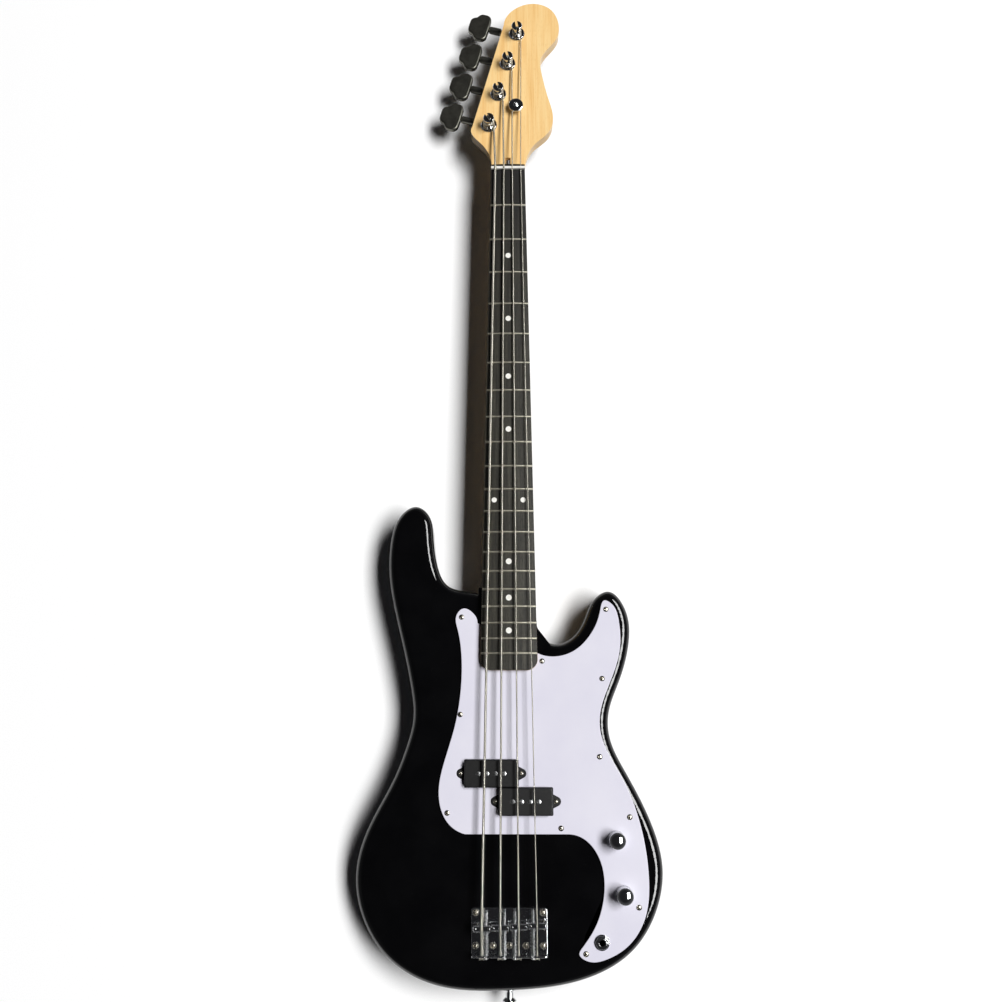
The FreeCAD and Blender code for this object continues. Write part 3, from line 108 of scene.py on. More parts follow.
# a value from 0.3 to 0.7, where noise mostly lies, spread over a range
def spread(tree, value, low, high):
    limits = {"Value": value, "From Min": 0.3, "From Max": 0.7, "To Min": low, "To Max": high}
    return addNode(tree, "ShaderNodeMapRange", limits).outputs[0]


# fine relief with its height in mm, over edges that are eased by a radius in mm
def relief(tree, shader, value, height, strength=1.0, edge=0.0):
    bump = addNode(tree, "ShaderNodeBump", {"Height": value, "Distance": height * mm, "Strength": strength})
    if edge:
        eased = addNode(tree, "ShaderNodeBevel", {"Radius": edge * mm}, samples=8)
        tree.links.new(eased.outputs[0], bump.inputs["Normal"])
    tree.links.new(bump.outputs[0], shader.inputs["Normal"])


finishes = {}

# Polyester lacquer, sprayed, sanded and buffed: a deep black that mirrors lamps sharply, with a trace of
# orange peel
lacquer = {"ink": "#050506", "worn": "#09090A", "gloss": (0.025, 0.06), "haze": 38.0,
           "peel": 3.5, "peelHeight": 0.004, "peelBump": 0.5, "ior": 1.52, "specular": 0.42}
finishes["lacquer"], tree, shader, place = startMaterial("blackPolyesterLacquer")
haze = patches(tree, place, lacquer["haze"], lacquer["haze"], lacquer["haze"], 4.0)
colour = shades(tree, haze, (0.35, lacquer["ink"]), (0.7, lacquer["worn"]))
tree.links.new(colour, shader.inputs["Base Color"])
tree.links.new(spread(tree, haze, *lacquer["gloss"]), shader.inputs["Roughness"])
peel = patches(tree, place, lacquer["peel"], lacquer["peel"], lacquer["peel"])
relief(tree, shader, peel, lacquer["peelHeight"], lacquer["peelBump"])
shader.inputs["IOR"].default_value = lacquer["ior"]
shader.inputs["Specular IOR Level"].default_value = lacquer["specular"]

# Hard maple under satin varnish: pale straw with fine lengthwise streaks, slow bands and short darker flecks
maple = {"pale": "#F4D193", "middle": "#F0C684", "dark": "#E7B66F", "fleck": "#D2A25F",
         "streak": (1.1, 60.0), "band": (9.0, 160.0), "fleckSize": (0.5, 7.0), "fleckShare": (-1.6, 0.45),
         "gloss": (0.32, 0.46), "grainHeight": 0.02, "grainBump": 0.4, "coat": 0.35, "coatGloss": 0.16}
finishes["maple"], tree, shader, place = startMaterial("satinMaple")
streak = patches(tree, place, *maple["streak"], maple["streak"][0], 3.0)
band = patches(tree, place, *maple["band"], maple["band"][0])
both = addNode(tree, "ShaderNodeMath", {0: streak, 1: band}, operation="ADD").outputs[0]
half = addNode(tree, "ShaderNodeMath", {0: both, 1: 0.5}, operation="MULTIPLY").outputs[0]
wood = shades(tree, half, (0.34, maple["dark"]), (0.47, maple["middle"]), (0.6, maple["pale"]))
fleckNoise = patches(tree, place, *maple["fleckSize"], maple["fleckSize"][0])
fleck = spread(tree, fleckNoise, *maple["fleckShare"])
flecked = {0: fleck, 6: wood, 7: inkOf(maple["fleck"])}
wood = addNode(tree, "ShaderNodeMix", flecked, data_type="RGBA").outputs[2]
tree.links.new(wood, shader.inputs["Base Color"])
tree.links.new(spread(tree, streak, *maple["gloss"]), shader.inputs["Roughness"])
relief(tree, shader, streak, maple["grainHeight"], maple["grainBump"])
shader.inputs["Coat Weight"].default_value = maple["coat"]
shader.inputs["Coat Roughness"].default_value = maple["coatGloss"]

# Rosewood, oiled and worn smooth: dark grey-brown, with long open pores that break up its faint sheen, and
# painted shade that darkens it towards the nut, where the board shows less sheen
rosewood = {"dark": "#201F1A", "middle": "#312F28", "pale": "#413F36", "pore": "#13120E", "paintedShade": "#0E0D0B",
            "streak": (2.2, 70.0), "poreSize": (0.35, 5.0), "poreShare": (-0.9, 0.9),
            "poreHeight": -0.05, "poreBump": 0.5, "paintedShadeFrom": 330.0, "paintedShadeTo": 590.0,
            "gloss": (0.45, 0.66), "specular": 0.32}
finishes["board"], tree, shader, place = startMaterial("oiledRosewood")
streak = patches(tree, place, *rosewood["streak"], rosewood["streak"][0], 4.0)
wood = shades(tree, streak, (0.32, rosewood["dark"]), (0.5, rosewood["middle"]), (0.7, rosewood["pale"]))
pore = patches(tree, place, *rosewood["poreSize"], rosewood["poreSize"][0])
opened = spread(tree, pore, *rosewood["poreShare"])
pored = {0: opened, 6: wood, 7: inkOf(rosewood["pore"])}
wood = addNode(tree, "ShaderNodeMix", pored, data_type="RGBA").outputs[2]
# painted shade: the colour is darkened towards the nut along Y, standing in for the sheen that falls off
# there
up = addNode(tree, "ShaderNodeSeparateXYZ", {0: place}).outputs["Y"]
limits = {"Value": up, "From Min": rosewood["paintedShadeFrom"] * mm, "From Max": rosewood["paintedShadeTo"] * mm}
paintedShade = addNode(tree, "ShaderNodeMapRange", limits).outputs[0]
darkened = {0: paintedShade, 6: wood, 7: inkOf(rosewood["paintedShade"])}
wood = addNode(tree, "ShaderNodeMix", darkened, data_type="RGBA").outputs[2]
tree.links.new(wood, shader.inputs["Base Color"])
tree.links.new(spread(tree, pore, *rosewood["gloss"]), shader.inputs["Roughness"])
relief(tree, shader, pore, rosewood["poreHeight"], rosewood["poreBump"])
shader.inputs["Specular IOR Level"].default_value = rosewood["specular"]

# Moulded plastics: a body colour that wavers a little, a fine grain and a wiped sheen. Grain is drawn coarser
# than it is, to show
plastics = {
    "ivory": {"name": "whiteNutPlastic", "ink": "#F4F3EE", "tint": "#E9E7DE",
              "cloud": 5.0, "grain": 0.6, "gloss": (0.24, 0.36), "height": 0.003},
    "guard": {"name": "whiteVinylSheet", "ink": "#DEDCE7", "tint": "#D8D6E3",
              "cloud": 60.0, "grain": 1.6, "gloss": (0.16, 0.27), "height": 0.003, "edge": 0.9},
    "cover": {"name": "blackMouldedABS", "ink": "#0C0C0C", "tint": "#111111",
              "cloud": 14.0, "grain": 0.45, "gloss": (0.30, 0.44), "height": 0.02, "edge": 0.6},
    "insulation": {"name": "greyWireVinyl", "ink": "#3B3B3D", "tint": "#4A4A4C",
                   "cloud": 6.0, "grain": 0.8, "gloss": (0.35, 0.5), "height": 0.004},
    "ceramic": {"name": "dippedCeramic", "ink": "#A8541F", "tint": "#B9662C",
                "cloud": 3.0, "grain": 0.7, "gloss": (0.25, 0.4), "height": 0.01},
    "coil": {"name": "tapedCopperWire", "ink": "#4A2214", "tint": "#6A3220",
             "cloud": 2.0, "grain": 0.4, "gloss": (0.3, 0.45), "height": 0.02},
}
plasticBump, plasticIor = 0.6, 1.5
for slotName, kind in plastics.items():
    finishes[slotName], tree, shader, place = startMaterial(kind["name"])
    cloud = patches(tree, place, kind["cloud"], kind["cloud"], kind["cloud"], 4.0)
    colour = shades(tree, cloud, (0.35, kind["ink"]), (0.68, kind["tint"]))
    tree.links.new(colour, shader.inputs["Base Color"])
    grain = patches(tree, place, kind["grain"], kind["grain"], kind["grain"])
    tree.links.new(spread(tree, grain, *kind["gloss"]), shader.inputs["Roughness"])
    relief(tree, shader, grain, kind["height"], plasticBump, kind.get("edge", 0.0))
    shader.inputs["IOR"].default_value = plasticIor

# Metals: plated or drawn, with polish that wavers in patches, and lines too fine to see drawn as wide as
# "line" across and "run" along
metals = {
    "chrome": {"name": "polishedChrome", "ink": "#DDDEDF", "tint": "#C6C8CA",
               "patch": 7.0, "line": 0.5, "run": 3.0, "gloss": (0.05, 0.13), "edge": 0.45},
    "nickel": {"name": "nickelPlate", "ink": "#CFCBC1", "tint": "#B3AFA4",
               "patch": 2.5, "line": 0.4, "run": 1.5, "gloss": (0.14, 0.28)},
    # painted reflection: the tuner keys and plates are chrome, drawn dark to stand for the dark room they
    # mirror
    "smoked": {"name": "chromePaintedDark", "ink": "#6C6B63", "tint": "#585750",
               "patch": 9.0, "line": 0.5, "run": 4.0, "gloss": (0.30, 0.42)},
    "brass": {"name": "machinedBrass", "ink": "#D3B06A", "tint": "#B48F4B",
              "patch": 4.0, "line": 0.4, "run": 2.0, "gloss": (0.2, 0.34)},
    "steel": {"name": "zincPlatedSteel", "ink": "#B9BABB", "tint": "#9A9B9B",
              "patch": 3.0, "line": 0.35, "run": 2.0, "gloss": (0.2, 0.36)},
    "fret_wire": {"name": "nickelSilver", "ink": "#EDE8D6", "tint": "#DAD4BF",
                  "patch": 4.0, "line": 4.0, "run": 0.4, "gloss": (0.3, 0.44)},
    "can": {"name": "stampedTinPlate", "ink": "#AFB0B2", "tint": "#8F9092",
            "patch": 4.0, "line": 0.5, "run": 3.0, "gloss": (0.3, 0.45)},
}
lineHeight, lineBump = 0.002, 0.5
for slotName, kind in metals.items():
    finishes[slotName], tree, shader, place = startMaterial(kind["name"])
    patch = patches(tree, place, kind["patch"], kind["patch"], kind["patch"], 3.0)
    colour = shades(tree, patch, (0.35, kind["ink"]), (0.7, kind["tint"]))
    tree.links.new(colour, shader.inputs["Base Color"])
    brushed = patches(tree, place, kind["line"], kind["run"], kind["line"])
    tree.links.new(spread(tree, brushed, *kind["gloss"]), shader.inputs["Roughness"])
    relief(tree, shader, brushed, lineHeight, lineBump, kind.get("edge", 0.0))
    shader.inputs["Metallic"].default_value = 1.0

# Nickel-plated wire wound round a steel core: pale metal, ridged across at every turn of the wrap, with
# painted shade that darkens the grooves between turns; the wrap's 0.4 mm is drawn as it is
wrap = {"ink": "#D8D4C8", "tint": "#A7A396", "pitch": 0.4, "gloss": 0.3, "height": 0.1, "bump": 0.35}
finishes["string_wire"], tree, shader, place = startMaterial("nickelWoundSteel")
along = addNode(tree, "ShaderNodeAttribute", {}, attribute_name="along").outputs["Fac"]
phase = addNode(tree, "ShaderNodeMath", {0: along, 1: turn / wrap["pitch"]}, operation="MULTIPLY").outputs[0]
ridge = addNode(tree, "ShaderNodeMath", {0: phase}, operation="SINE").outputs[0]
# painted shade: the grooves between turns take the darker tint, the crests the paler ink
colour = shades(tree, spread(tree, ridge, 0.0, 1.0), (0.1, wrap["tint"]), (0.6, wrap["ink"]))
tree.links.new(colour, shader.inputs["Base Color"])
relief(tree, shader, ridge, wrap["height"], wrap["bump"])
shader.inputs["Metallic"].default_value = 1.0
shader.inputs["Roughness"].default_value = wrap["gloss"]

for row in frame["record"]["subparts"]:
    nodes[row["node"]].material_slots[0].material = finishes[row["material_slot"]]
print("finishes made:", len(finishes))


# rows of rings become quads, and a fan of triangles to a middle point closes each end
def shellFaces(rows, columns, first):
    ring = np.arange(columns)
    after = (ring + 1) % columns
    base = first + columns * np.arange(rows - 1)[:, None]
    quads = np.stack([base + ring, base + after, base + columns + after, base + columns + ring], -1)
    last, pole = first + columns * (rows - 1), first + rows * columns
    start = np.stack([np.full(columns, pole), first + after, first + ring], -1)
    end = np.stack([np.full(columns, pole + 1), last + ring, last + after], -1)
    return quads.reshape(-1, 4).tolist() + start.tolist() + end.tolist()


# one mesh object from closed shells, each an array of rows by columns by 3 in mm, with its length along the
# shell kept for the wrap
def makePiece(name, slotName, shells):
    points, faces, reach, first = [], [], [], 0
    for shell in shells:
        rows, columns = shell.shape[:2]
        ends = np.stack([shell[0].mean(0), shell[-1].mean(0)])
        points.append(np.concatenate([shell.reshape(-1, 3), ends]))
        faces += shellFaces(rows, columns, first)
        middle = shell.mean(1)
        step = np.concatenate([[0.0], np.cumsum(np.linalg.norm(np.diff(middle, axis=0), axis=1))])
        reach.append(np.concatenate([np.repeat(step, columns), step[[0, -1]]]))
        first += rows * columns + 2
    mesh = bpy.data.meshes.new(name)
    mesh.from_pydata((np.concatenate(points) * mm).tolist(), [], faces)
    lengths = mesh.attributes.new("along", "FLOAT", "POINT")
    lengths.data.foreach_set("value", np.concatenate(reach).astype(np.float32))
    mesh.polygons.foreach_set("use_smooth", np.ones(len(mesh.polygons), bool))
    mesh.set_sharp_from_angle(angle=math.radians(32))
    mesh.materials.append(finishes[slotName])
    mesh.update()
    piece = bpy.data.objects.new(name, mesh)
    bpy.context.scene.collection.objects.link(piece)
    return piece


# a round tube: a circle carried along the path, set square to it by a direction that the path never takes
def tubeShell(path, radius, sides, apart):
    way = np.gradient(path, axis=0)
    way /= np.linalg.norm(way, axis=1, keepdims=True)
    side = np.cross(way, apart)
    side /= np.linalg.norm(side, axis=1, keepdims=True)
    lift = np.cross(way, side)
    angle = turn * np.arange(sides) / sides
    girth = np.broadcast_to(radius, len(path))[:, None, None]
    ring = np.cos(angle)[None, :, None] * side[:, None] + np.sin(angle)[None, :, None] * lift[:, None]
    return path[:, None] + girth * ring


# a turned shape: rows of radius and height swung round an axis from a seat; both may vary round the turn
def turnedShell(radius, height, columns, seat=(0, 0, 0), axis=(0, 0, 1), start=0.0):
    angle = start + turn * np.arange(columns) / columns
    radius, height = np.asarray(radius, float), np.asarray(height, float)
    radius = radius[:, None] if radius.ndim == 1 else radius
    height = height[:, None] if height.ndim == 1 else height
    flat = np.stack(np.broadcast_arrays(radius * np.cos(angle), radius * np.sin(angle), height), -1)
    axis = np.asarray(axis, float)
    first = np.cross(axis, (0, 1, 0) if abs(axis[1]) < 0.9 else (0, 0, 1))
    first /= np.linalg.norm(first)
    return flat @ np.stack([first, np.cross(axis, first), axis]) + np.asarray(seat, float)


# straight runs between corners, with a tangent arc of the same radius at each corner
def bentPath(corners, radius, steps, runSteps):
    corners = np.asarray(corners, float)
    pieces, start = [], corners[0]
    for before, corner, after in zip(corners, corners[1:], corners[2:]):
        back = (before - corner) / np.linalg.norm(before - corner)
        ahead = (after - corner) / np.linalg.norm(after - corner)
        halfTurn = math.acos(np.clip(back @ ahead, -1, 1)) / 2
        first = corner + back * radius / math.tan(halfTurn)
        inward = (back + ahead) / np.linalg.norm(back + ahead)
        hub = corner + inward * radius / math.sin(halfTurn)
        sweep = np.linspace(0, math.pi - 2 * halfTurn, steps)[:, None]
        toFirst = (first - hub) / radius
        arc = hub + radius * (np.cos(sweep) * toFirst - np.sin(sweep) * back)
        pieces.append(np.linspace(start, first, runSteps)[:-1])
        pieces.append(arc[:-1])
        start = arc[-1]
    pieces.append(np.linspace(start, corners[-1], runSteps))
    return np.concatenate(pieces)


# points round an upright axis, level or climbing
def circlePath(centre, radius, angle, height):
    height = np.broadcast_to(height, angle.shape)
    return np.stack([centre[0] + radius * np.cos(angle), centre[1] + radius * np.sin(angle), height], -1)


# the direction in the plane of the front at an angle from +X
def heading(angle):
    return np.array([math.cos(angle), math.sin(angle)])


# Strings, from the ball behind the bridge over saddle and nut to the posts; sizes in mm from the thickest
strings = {
    "names": ("e", "a", "d", "g"), "radii": (1.33, 1.07, 0.83, 0.58), "bridgePitch": 19.0, "nutPitch": 10.4,
    "saddleY": (-305.2, -304.2, -303.2, -302.2), "saddleZ": 61.5, "nutY": 569.75, "nutZ": 57.6,
    "ballY": -334.76, "ballZ": 52.3, "bend": 8.0, "bendSteps": 12, "runSteps": 25, "sides": 16, "gap": 0.06,
    "treeY": 652.18, "treeZ": 52.6, "postFirst": (-24.0, 636.5), "postPitch": 45.8, "slope": math.radians(15),
    "waist": 4.6, "faceZ": 46.1, "coilLift": 2.3, "coilGap": 0.55, "turns": 1.25, "coilSteps": 120,
    "wrap": 0.7, "wrapSteps": 40, "slotBend": 1.5, "slotEnd": 0.6,
    "twist": 0.35, "twistTo": 9.6, "twistFade": 6.0,
}
# the ball is a grooved spool: shares of its radius, and places along its half length
spool = {"radius": 1.7, "half": 2.7, "columns": 24,
         "girths": (0.45, 0.94, 1.0, 0.72, 0.62, 0.72, 1.0, 0.94, 0.45),
         "places": (-1.0, -1.0, -0.8, -0.4, 0.0, 0.4, 0.8, 1.0, 1.0)}


def postCentre(n):
    uphill = np.array([math.sin(strings["slope"]), math.cos(strings["slope"])])
    return np.array(strings["postFirst"]) + strings["postPitch"] * n * uphill


# where a level line from a start point touches the winding's circle on the thin-string side
def coilTouch(n, start, coilRadius):
    gap = postCentre(n) - start[:2]
    reach = np.linalg.norm(gap)
    way = math.atan2(gap[1], gap[0]) - math.asin(coilRadius / reach)
    touch = start[:2] + math.sqrt(reach ** 2 - coilRadius ** 2) * heading(way)
    return touch, math.atan2(*(touch - postCentre(n))[::-1])


for n, name in enumerate(strings["names"]):
    radius = strings["radii"][n]
    coilRadius = strings["waist"] + radius + strings["gap"]
    coilZ = strings["faceZ"] + strings["coilLift"] + radius
    bridgeX, nutX = (n - 1.5) * strings["bridgePitch"], (n - 1.5) * strings["nutPitch"]
    ball = np.array([bridgeX, strings["ballY"], strings["ballZ"]])
    saddle = np.array([bridgeX, strings["saddleY"][n], strings["saddleZ"] + radius])
    nutTop = np.array([nutX, strings["nutY"], strings["nutZ"] + radius])
    corners = [ball, saddle, nutTop]
    touch, startAngle = coilTouch(n, nutTop, coilRadius)
    if n > 1:  # the two thin strings pass under the round retainer
        share = (strings["treeY"] - nutTop[1]) / (touch[1] - nutTop[1])
        under = strings["treeZ"] - radius - strings["gap"]
        corners.append(np.array([*(nutTop[:2] + share * (touch - nutTop[:2])), under]))
        touch, startAngle = coilTouch(n, corners[-1], coilRadius)
    corners.append(np.array([*touch, coilZ]))
    # the lowest turn lies still round the post, which turns inside it; the turns above it go with the post
    centre = postCentre(n)
    angle = startAngle + np.linspace(0, turn * strings["wrap"], strings["wrapSteps"])[1:]
    held = circlePath(centre, coilRadius, angle, coilZ)
    bent = bentPath(corners, strings["bend"], strings["bendSteps"], strings["runSteps"])
    path = np.concatenate([bent, held])
    crest = int(np.argmin(np.linalg.norm(path - saddle, axis=1)))  # cut at the saddle, which slides
    runShell = tubeShell(path[crest:], radius, strings["sides"], (0, 0, 1))
    run = makePiece("string_run_" + name, "string_wire", [runShell])
    # near the ball the end is twisted back on itself, so the tail is thicker there
    tailPath = path[:crest + 1]
    fromBall = np.linalg.norm(tailPath - ball, axis=1)
    twist = strings["twist"] * radius * np.clip((strings["twistTo"] - fromBall) / strings["twistFade"], 0, 1)
    tailShell = tubeShell(tailPath, radius + twist, strings["sides"], (0, 0, 1))
    girths, places = spool["radius"] * np.array(spool["girths"]), spool["half"] * np.array(spool["places"])
    ballShell = turnedShell(girths, places, spool["columns"], ball, (1, 0, 0))
    tail = makePiece("string_tail_" + name, "string_wire", [tailShell, ballShell])
    for piece, first in ((run, nutTop), (tail, ball)):
        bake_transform(piece)
        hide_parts("string_" + name)

    # the winding: a helix up the post, then a tight arc into the slot and a straight end
    pitch, bend = 2 * radius + strings["coilGap"], strings["slotBend"] * radius
    turns = np.linspace(0, strings["turns"], strings["coilSteps"])
    angle = startAngle + turn * turns
    coil = circlePath(centre, coilRadius, angle, coilZ + pitch * (1 + turns))
    level, lean = coil[-1, 2], math.asin(bend / (coilRadius - bend))
    slotAngle = angle[-1] + lean
    hub = centre + (coilRadius - bend) * heading(angle[-1])
    elbow = circlePath(hub, bend, np.linspace(angle[-1], slotAngle + math.pi / 2, 16)[1:], level)
    middle = np.array([*(centre + strings["slotEnd"] * radius * heading(slotAngle)), level])
    coilPath = np.concatenate([coil, elbow, np.linspace(elbow[-1], middle, 4)[1:]])
    coilShell = tubeShell(coilPath, radius, strings["sides"], (0, 0, 1))
    winding = makePiece("string_coil_" + name, "string_wire", [coilShell])
    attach(winding, "post_" + name)
    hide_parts("string_winding_" + name)
print("strings wound")

# Springs on the intonation screws: a helix along Y whose pitch closes up over its first and last turn
springs = {"wire": 0.3, "sides": 10, "radius": 2.1, "turns": 9, "steps": 360, "wallY": -331.0, "seat": 0.5,
           "saddleBack": 4.5, "axisZ": 58.3, "side": 4.2, "closed": 0.2}


# the intonation screws stand on the inner side of their strings
def screwLine(n):
    return (n - 1.5) * strings["bridgePitch"] + springs["side"] * (1 if n < 2 else -1)


for n, name in enumerate(strings["names"]):
    screwX = screwLine(n)
    low, high = springs["wallY"] + springs["seat"], strings["saddleY"][n] - springs["saddleBack"]
    angle = np.linspace(0, turn * springs["turns"], springs["steps"])
    ends = np.minimum(angle, angle[-1] - angle) / turn
    rise = np.cumsum(springs["closed"] + (1 - springs["closed"]) * np.clip(ends - 0.5, 0, 1))
    ways = low + (high - low) * (rise - rise[0]) / (rise[-1] - rise[0])
    across, lift = springs["radius"] * np.cos(angle), springs["radius"] * np.sin(angle)
    path = np.stack([screwX + across, ways, springs["axisZ"] - lift], -1)
    springShell = tubeShell(path, springs["wire"], springs["sides"], (0, 1, 0))
    spring = makePiece("saddle_spring_" + name, "steel", [springShell])
    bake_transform(spring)
    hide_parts("intonation_springs")
print("springs coiled")

# What all cross-head screws share: the thread's depth as a share of the shank, the cross's half width, reach
# and soft edge as shares of the head, and the rings of the head's dome
crossHead = {"columns": 48, "thread": 0.16, "half": 0.13, "reach": 0.6, "soft": 0.12, "underside": 0.97,
             "dome": (1.0, 0.97, 0.92, 0.84, 0.76, 0.68, 0.6, 0.52, 0.44, 0.36, 0.28, 0.2, 0.12, 0.05)}


# a thread's zigzag from 0 to 1, which climbs one pitch a turn
def threadWave(deep, pitch, angle):
    return np.abs(((deep[:, None] / pitch + angle / turn) % 1) * 2 - 1)


# 1 inside a cross of two bars and 0 outside it, with a soft edge between
def crossShare(x, y, half, reach, soft):
    upright = np.maximum(np.abs(x) - half, np.abs(y) - reach)
    level = np.maximum(np.abs(y) - half, np.abs(x) - reach)
    return np.clip(0.5 - np.minimum(upright, level) / soft, 0, 1)


# a screw: a threaded shank with its point, then a domed head that falls with the square of the radius, with a
# cross sunk into it
def screwShell(kind, seat, axis, spin):
    columns = crossHead["columns"]
    angle = turn * np.arange(columns) / columns
    deep = np.linspace(-kind["length"], 0, int(kind["length"] / kind["pitch"] * 4) + 2)
    point = np.ones(len(deep))
    if kind["point"]:
        point = np.clip((deep + kind["length"]) / kind["point"], 0.12, 1)
    wave = threadWave(deep, kind["pitch"], angle)
    shank = point[:, None] * kind["shank"] * (1 - crossHead["thread"] * wave)
    share = np.array(crossHead["dome"])
    dome = kind["rim"] + (kind["top"] - kind["rim"]) * (1 - share ** 2)
    head = kind["head"] * np.concatenate([[crossHead["underside"], 1.0], share])
    radius = np.concatenate([shank, np.repeat(head, columns).reshape(-1, columns)])
    height = np.concatenate([deep, [0.0, 0.3 * kind["rim"]], dome])[:, None].repeat(columns, 1)
    x, y = radius * np.cos(angle) / kind["head"], radius * np.sin(angle) / kind["head"]
    sunk = kind["recess"] * crossShare(x, y, crossHead["half"], crossHead["reach"], crossHead["soft"])
    onDome = slice(len(deep) + 2, None)
    height[onDome] -= sunk[onDome]
    return turnedShell(radius, height, columns, seat, axis, spin)


# a place beside a post, given along the head's slope
def besidePost(k, spot):
    cosine, sine = math.cos(strings["slope"]), math.sin(strings["slope"])
    return tuple(postCentre(k) + np.array([[cosine, sine], [-sine, cosine]]) @ np.array(spot))


# Screws by group: head and shank radius, head rim and top, shank length, thread pitch and point, in mm
plateSpots = ((-12.5, -11.5), (12.5, -11.5), (-13.0, 19.5), (13.0, 19.5))
screwGroups = {
    "guard_screws": {
        "node": "pickguard_screws", "slot": "nickel", "head": 2.9, "rim": 0.35, "top": 1.3, "shank": 1.4,
        "length": 12.0, "pitch": 1.3, "point": 3.0, "recess": 0.85, "axis": (0, 0, 1), "z": 48.8,
        "places": ((-52.5, 16.5), (-53, -89.5), (-66, -192), (55, -207.5), (108, 25), (102, -51),
                   (97.5, -134), (128, -196), (135, -286), (79, -331), (36.5, -32))},
    "bridge_plate_screws": {
        "node": "bridge_screws", "slot": "nickel", "head": 3.6, "rim": 0.6, "top": 2.2, "shank": 1.9,
        "length": 24.0, "pitch": 1.8, "point": 5.0, "recess": 1.3, "axis": (0, 0, 1), "z": 48.5,
        "places": ((-35, -323), (-17, -323), (0, -323), (17, -323), (35, -323), (-35, -291), (35, -291))},
    "pickup_ear_screws": {
        "node": "pickup_screws", "slot": "nickel", "head": 2.6, "rim": 0.4, "top": 1.4, "shank": 1.5,
        "length": 30.0, "pitch": 1.2, "point": 4.0, "recess": 0.85, "axis": (0, 0, 1), "z": 48.5,
        "places": ((-51.7, -151.4), (13.3, -151.4), (-14.9, -180.2), (50.1, -180.2))},
    "tuner_plate_screws": {
        "node": "tuner_screws", "slot": "smoked", "head": 2.5, "rim": 0.35, "top": 1.3, "shank": 1.3,
        "length": 11.0, "pitch": 1.1, "point": 3.0, "recess": 0.85, "axis": (0, 0, -1), "z": 30.1,
        "places": [besidePost(k, spot) for k in range(4) for spot in plateSpots]},
}
spinStep = 2.4  # radians from one screw's cross to the next, so that no two line up
for name, kind in screwGroups.items():
    shells = [screwShell(kind, (x, y, kind["z"]), kind["axis"], spinStep * k)
              for k, (x, y) in enumerate(kind["places"])]
    piece = makePiece(name, kind["slot"], shells)
    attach(piece, "instrument")
    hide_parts(kind["node"])

# Pole pieces: rods with softly crowned ends, which show as small bright spots between the strings. The crown
# falls with the square of the radius
poles = {"radius": 2.4, "low": 38.9, "ease": 0.3, "rim": 55.48, "crown": 55.8, "columns": 40,
         "pitch": 9.2, "rows": ((-19.2, -151.4), (17.6, -180.2))}
swell = np.linspace(0.99, 0.03, 14)
radius = poles["radius"] * np.concatenate([[0.9, 1.0, 1.0], swell])
crown = poles["rim"] + (poles["crown"] - poles["rim"]) * (1 - swell ** 2)
height = np.concatenate([[poles["low"], poles["low"] + poles["ease"], poles["rim"]], crown])
shells = [turnedShell(radius, height, poles["columns"], (x + (k - 1.5) * poles["pitch"], y, 0))
          for x, y in poles["rows"] for k in range(4)]
piece = makePiece("pole_rods", "steel", shells)
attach(piece, "instrument")
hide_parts("pickup_poles")

# Intonation screws, through the bridge's upstand into the saddles, each as long as its saddle is far
intonation = {"head": 2.7, "rim": 0.7, "top": 2.0, "shank": 1.5, "pitch": 0.5, "point": 0, "recess": 1.1,
              "axis": (0, -1, 0), "seatY": -333.05, "tip": 11.0, "barrel": 4.0, "spin": 0.6}
for n, name in enumerate(strings["names"]):
    seat = (screwLine(n), intonation["seatY"], springs["axisZ"])
    saddleFront = strings["saddleY"][n] + intonation["barrel"]
    intonation["length"] = saddleFront + intonation["tip"] - intonation["seatY"]
    screw = screwShell(intonation, seat, intonation["axis"], intonation["spin"] * n)
    piece = makePiece("saddle_screw_" + name, "steel", [screw])
    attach(piece, "adjuster_" + name)
    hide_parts("intonation_screw_" + name)

# Neck screws: countersunk heads flush with the plate, the cross sunk from below; the shank goes up into the
# heel. Rows are shares of the head's radius, from the head's middle to its rim and up the shank to the point
neckScrews = {"head": 4.3, "shank": 0.535, "pitch": 2.2, "threadFrom": 8, "threadTo": 41, "flush": 0.05,
              "recess": 1.5, "half": 0.12, "reach": 0.55, "soft": 0.1, "places": (19.0, 25.5),
              "spin": (1.1, 0.4)}
columns, shank = crossHead["columns"], neckScrews["shank"]
rows = np.concatenate([[0.05], np.linspace(0.1, 1.0, 12), [0.55, shank], np.full(60, shank), [0.3, 0.06]])
deep = np.concatenate([np.zeros(13), [2.0, 2.6], np.linspace(3.0, 40.0, 60), [42.5, 44.0]])
deep += neckScrews["flush"]
angle = turn * np.arange(columns) / columns
threaded = ((deep > neckScrews["threadFrom"]) & (deep < neckScrews["threadTo"]))[:, None]
wave = threadWave(deep, neckScrews["pitch"], angle)
radius = neckScrews["head"] * rows[:, None] * (1 - crossHead["thread"] * wave * threaded)
x, y = rows[:, None] * np.cos(angle), rows[:, None] * np.sin(angle)
cross = crossShare(x, y, neckScrews["half"], neckScrews["reach"], neckScrews["soft"])
height = deep[:, None] + neckScrews["recess"] * cross * (deep[:, None] < 1)
shells = []
for sideX in (-1, 1):
    for sideY in (-1, 1):
        seat = (sideX * neckScrews["places"][0], sideY * neckScrews["places"][1], 0)
        spin = neckScrews["spin"][0] * sideX + neckScrews["spin"][1] * sideY
        shells.append(turnedShell(radius, height, columns, seat, (0, 0, 1), spin))
piece = makePiece("neck_screws", "chrome", shells)
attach(piece, "instrument")
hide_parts("neck_plate_screws")
print("screws driven")

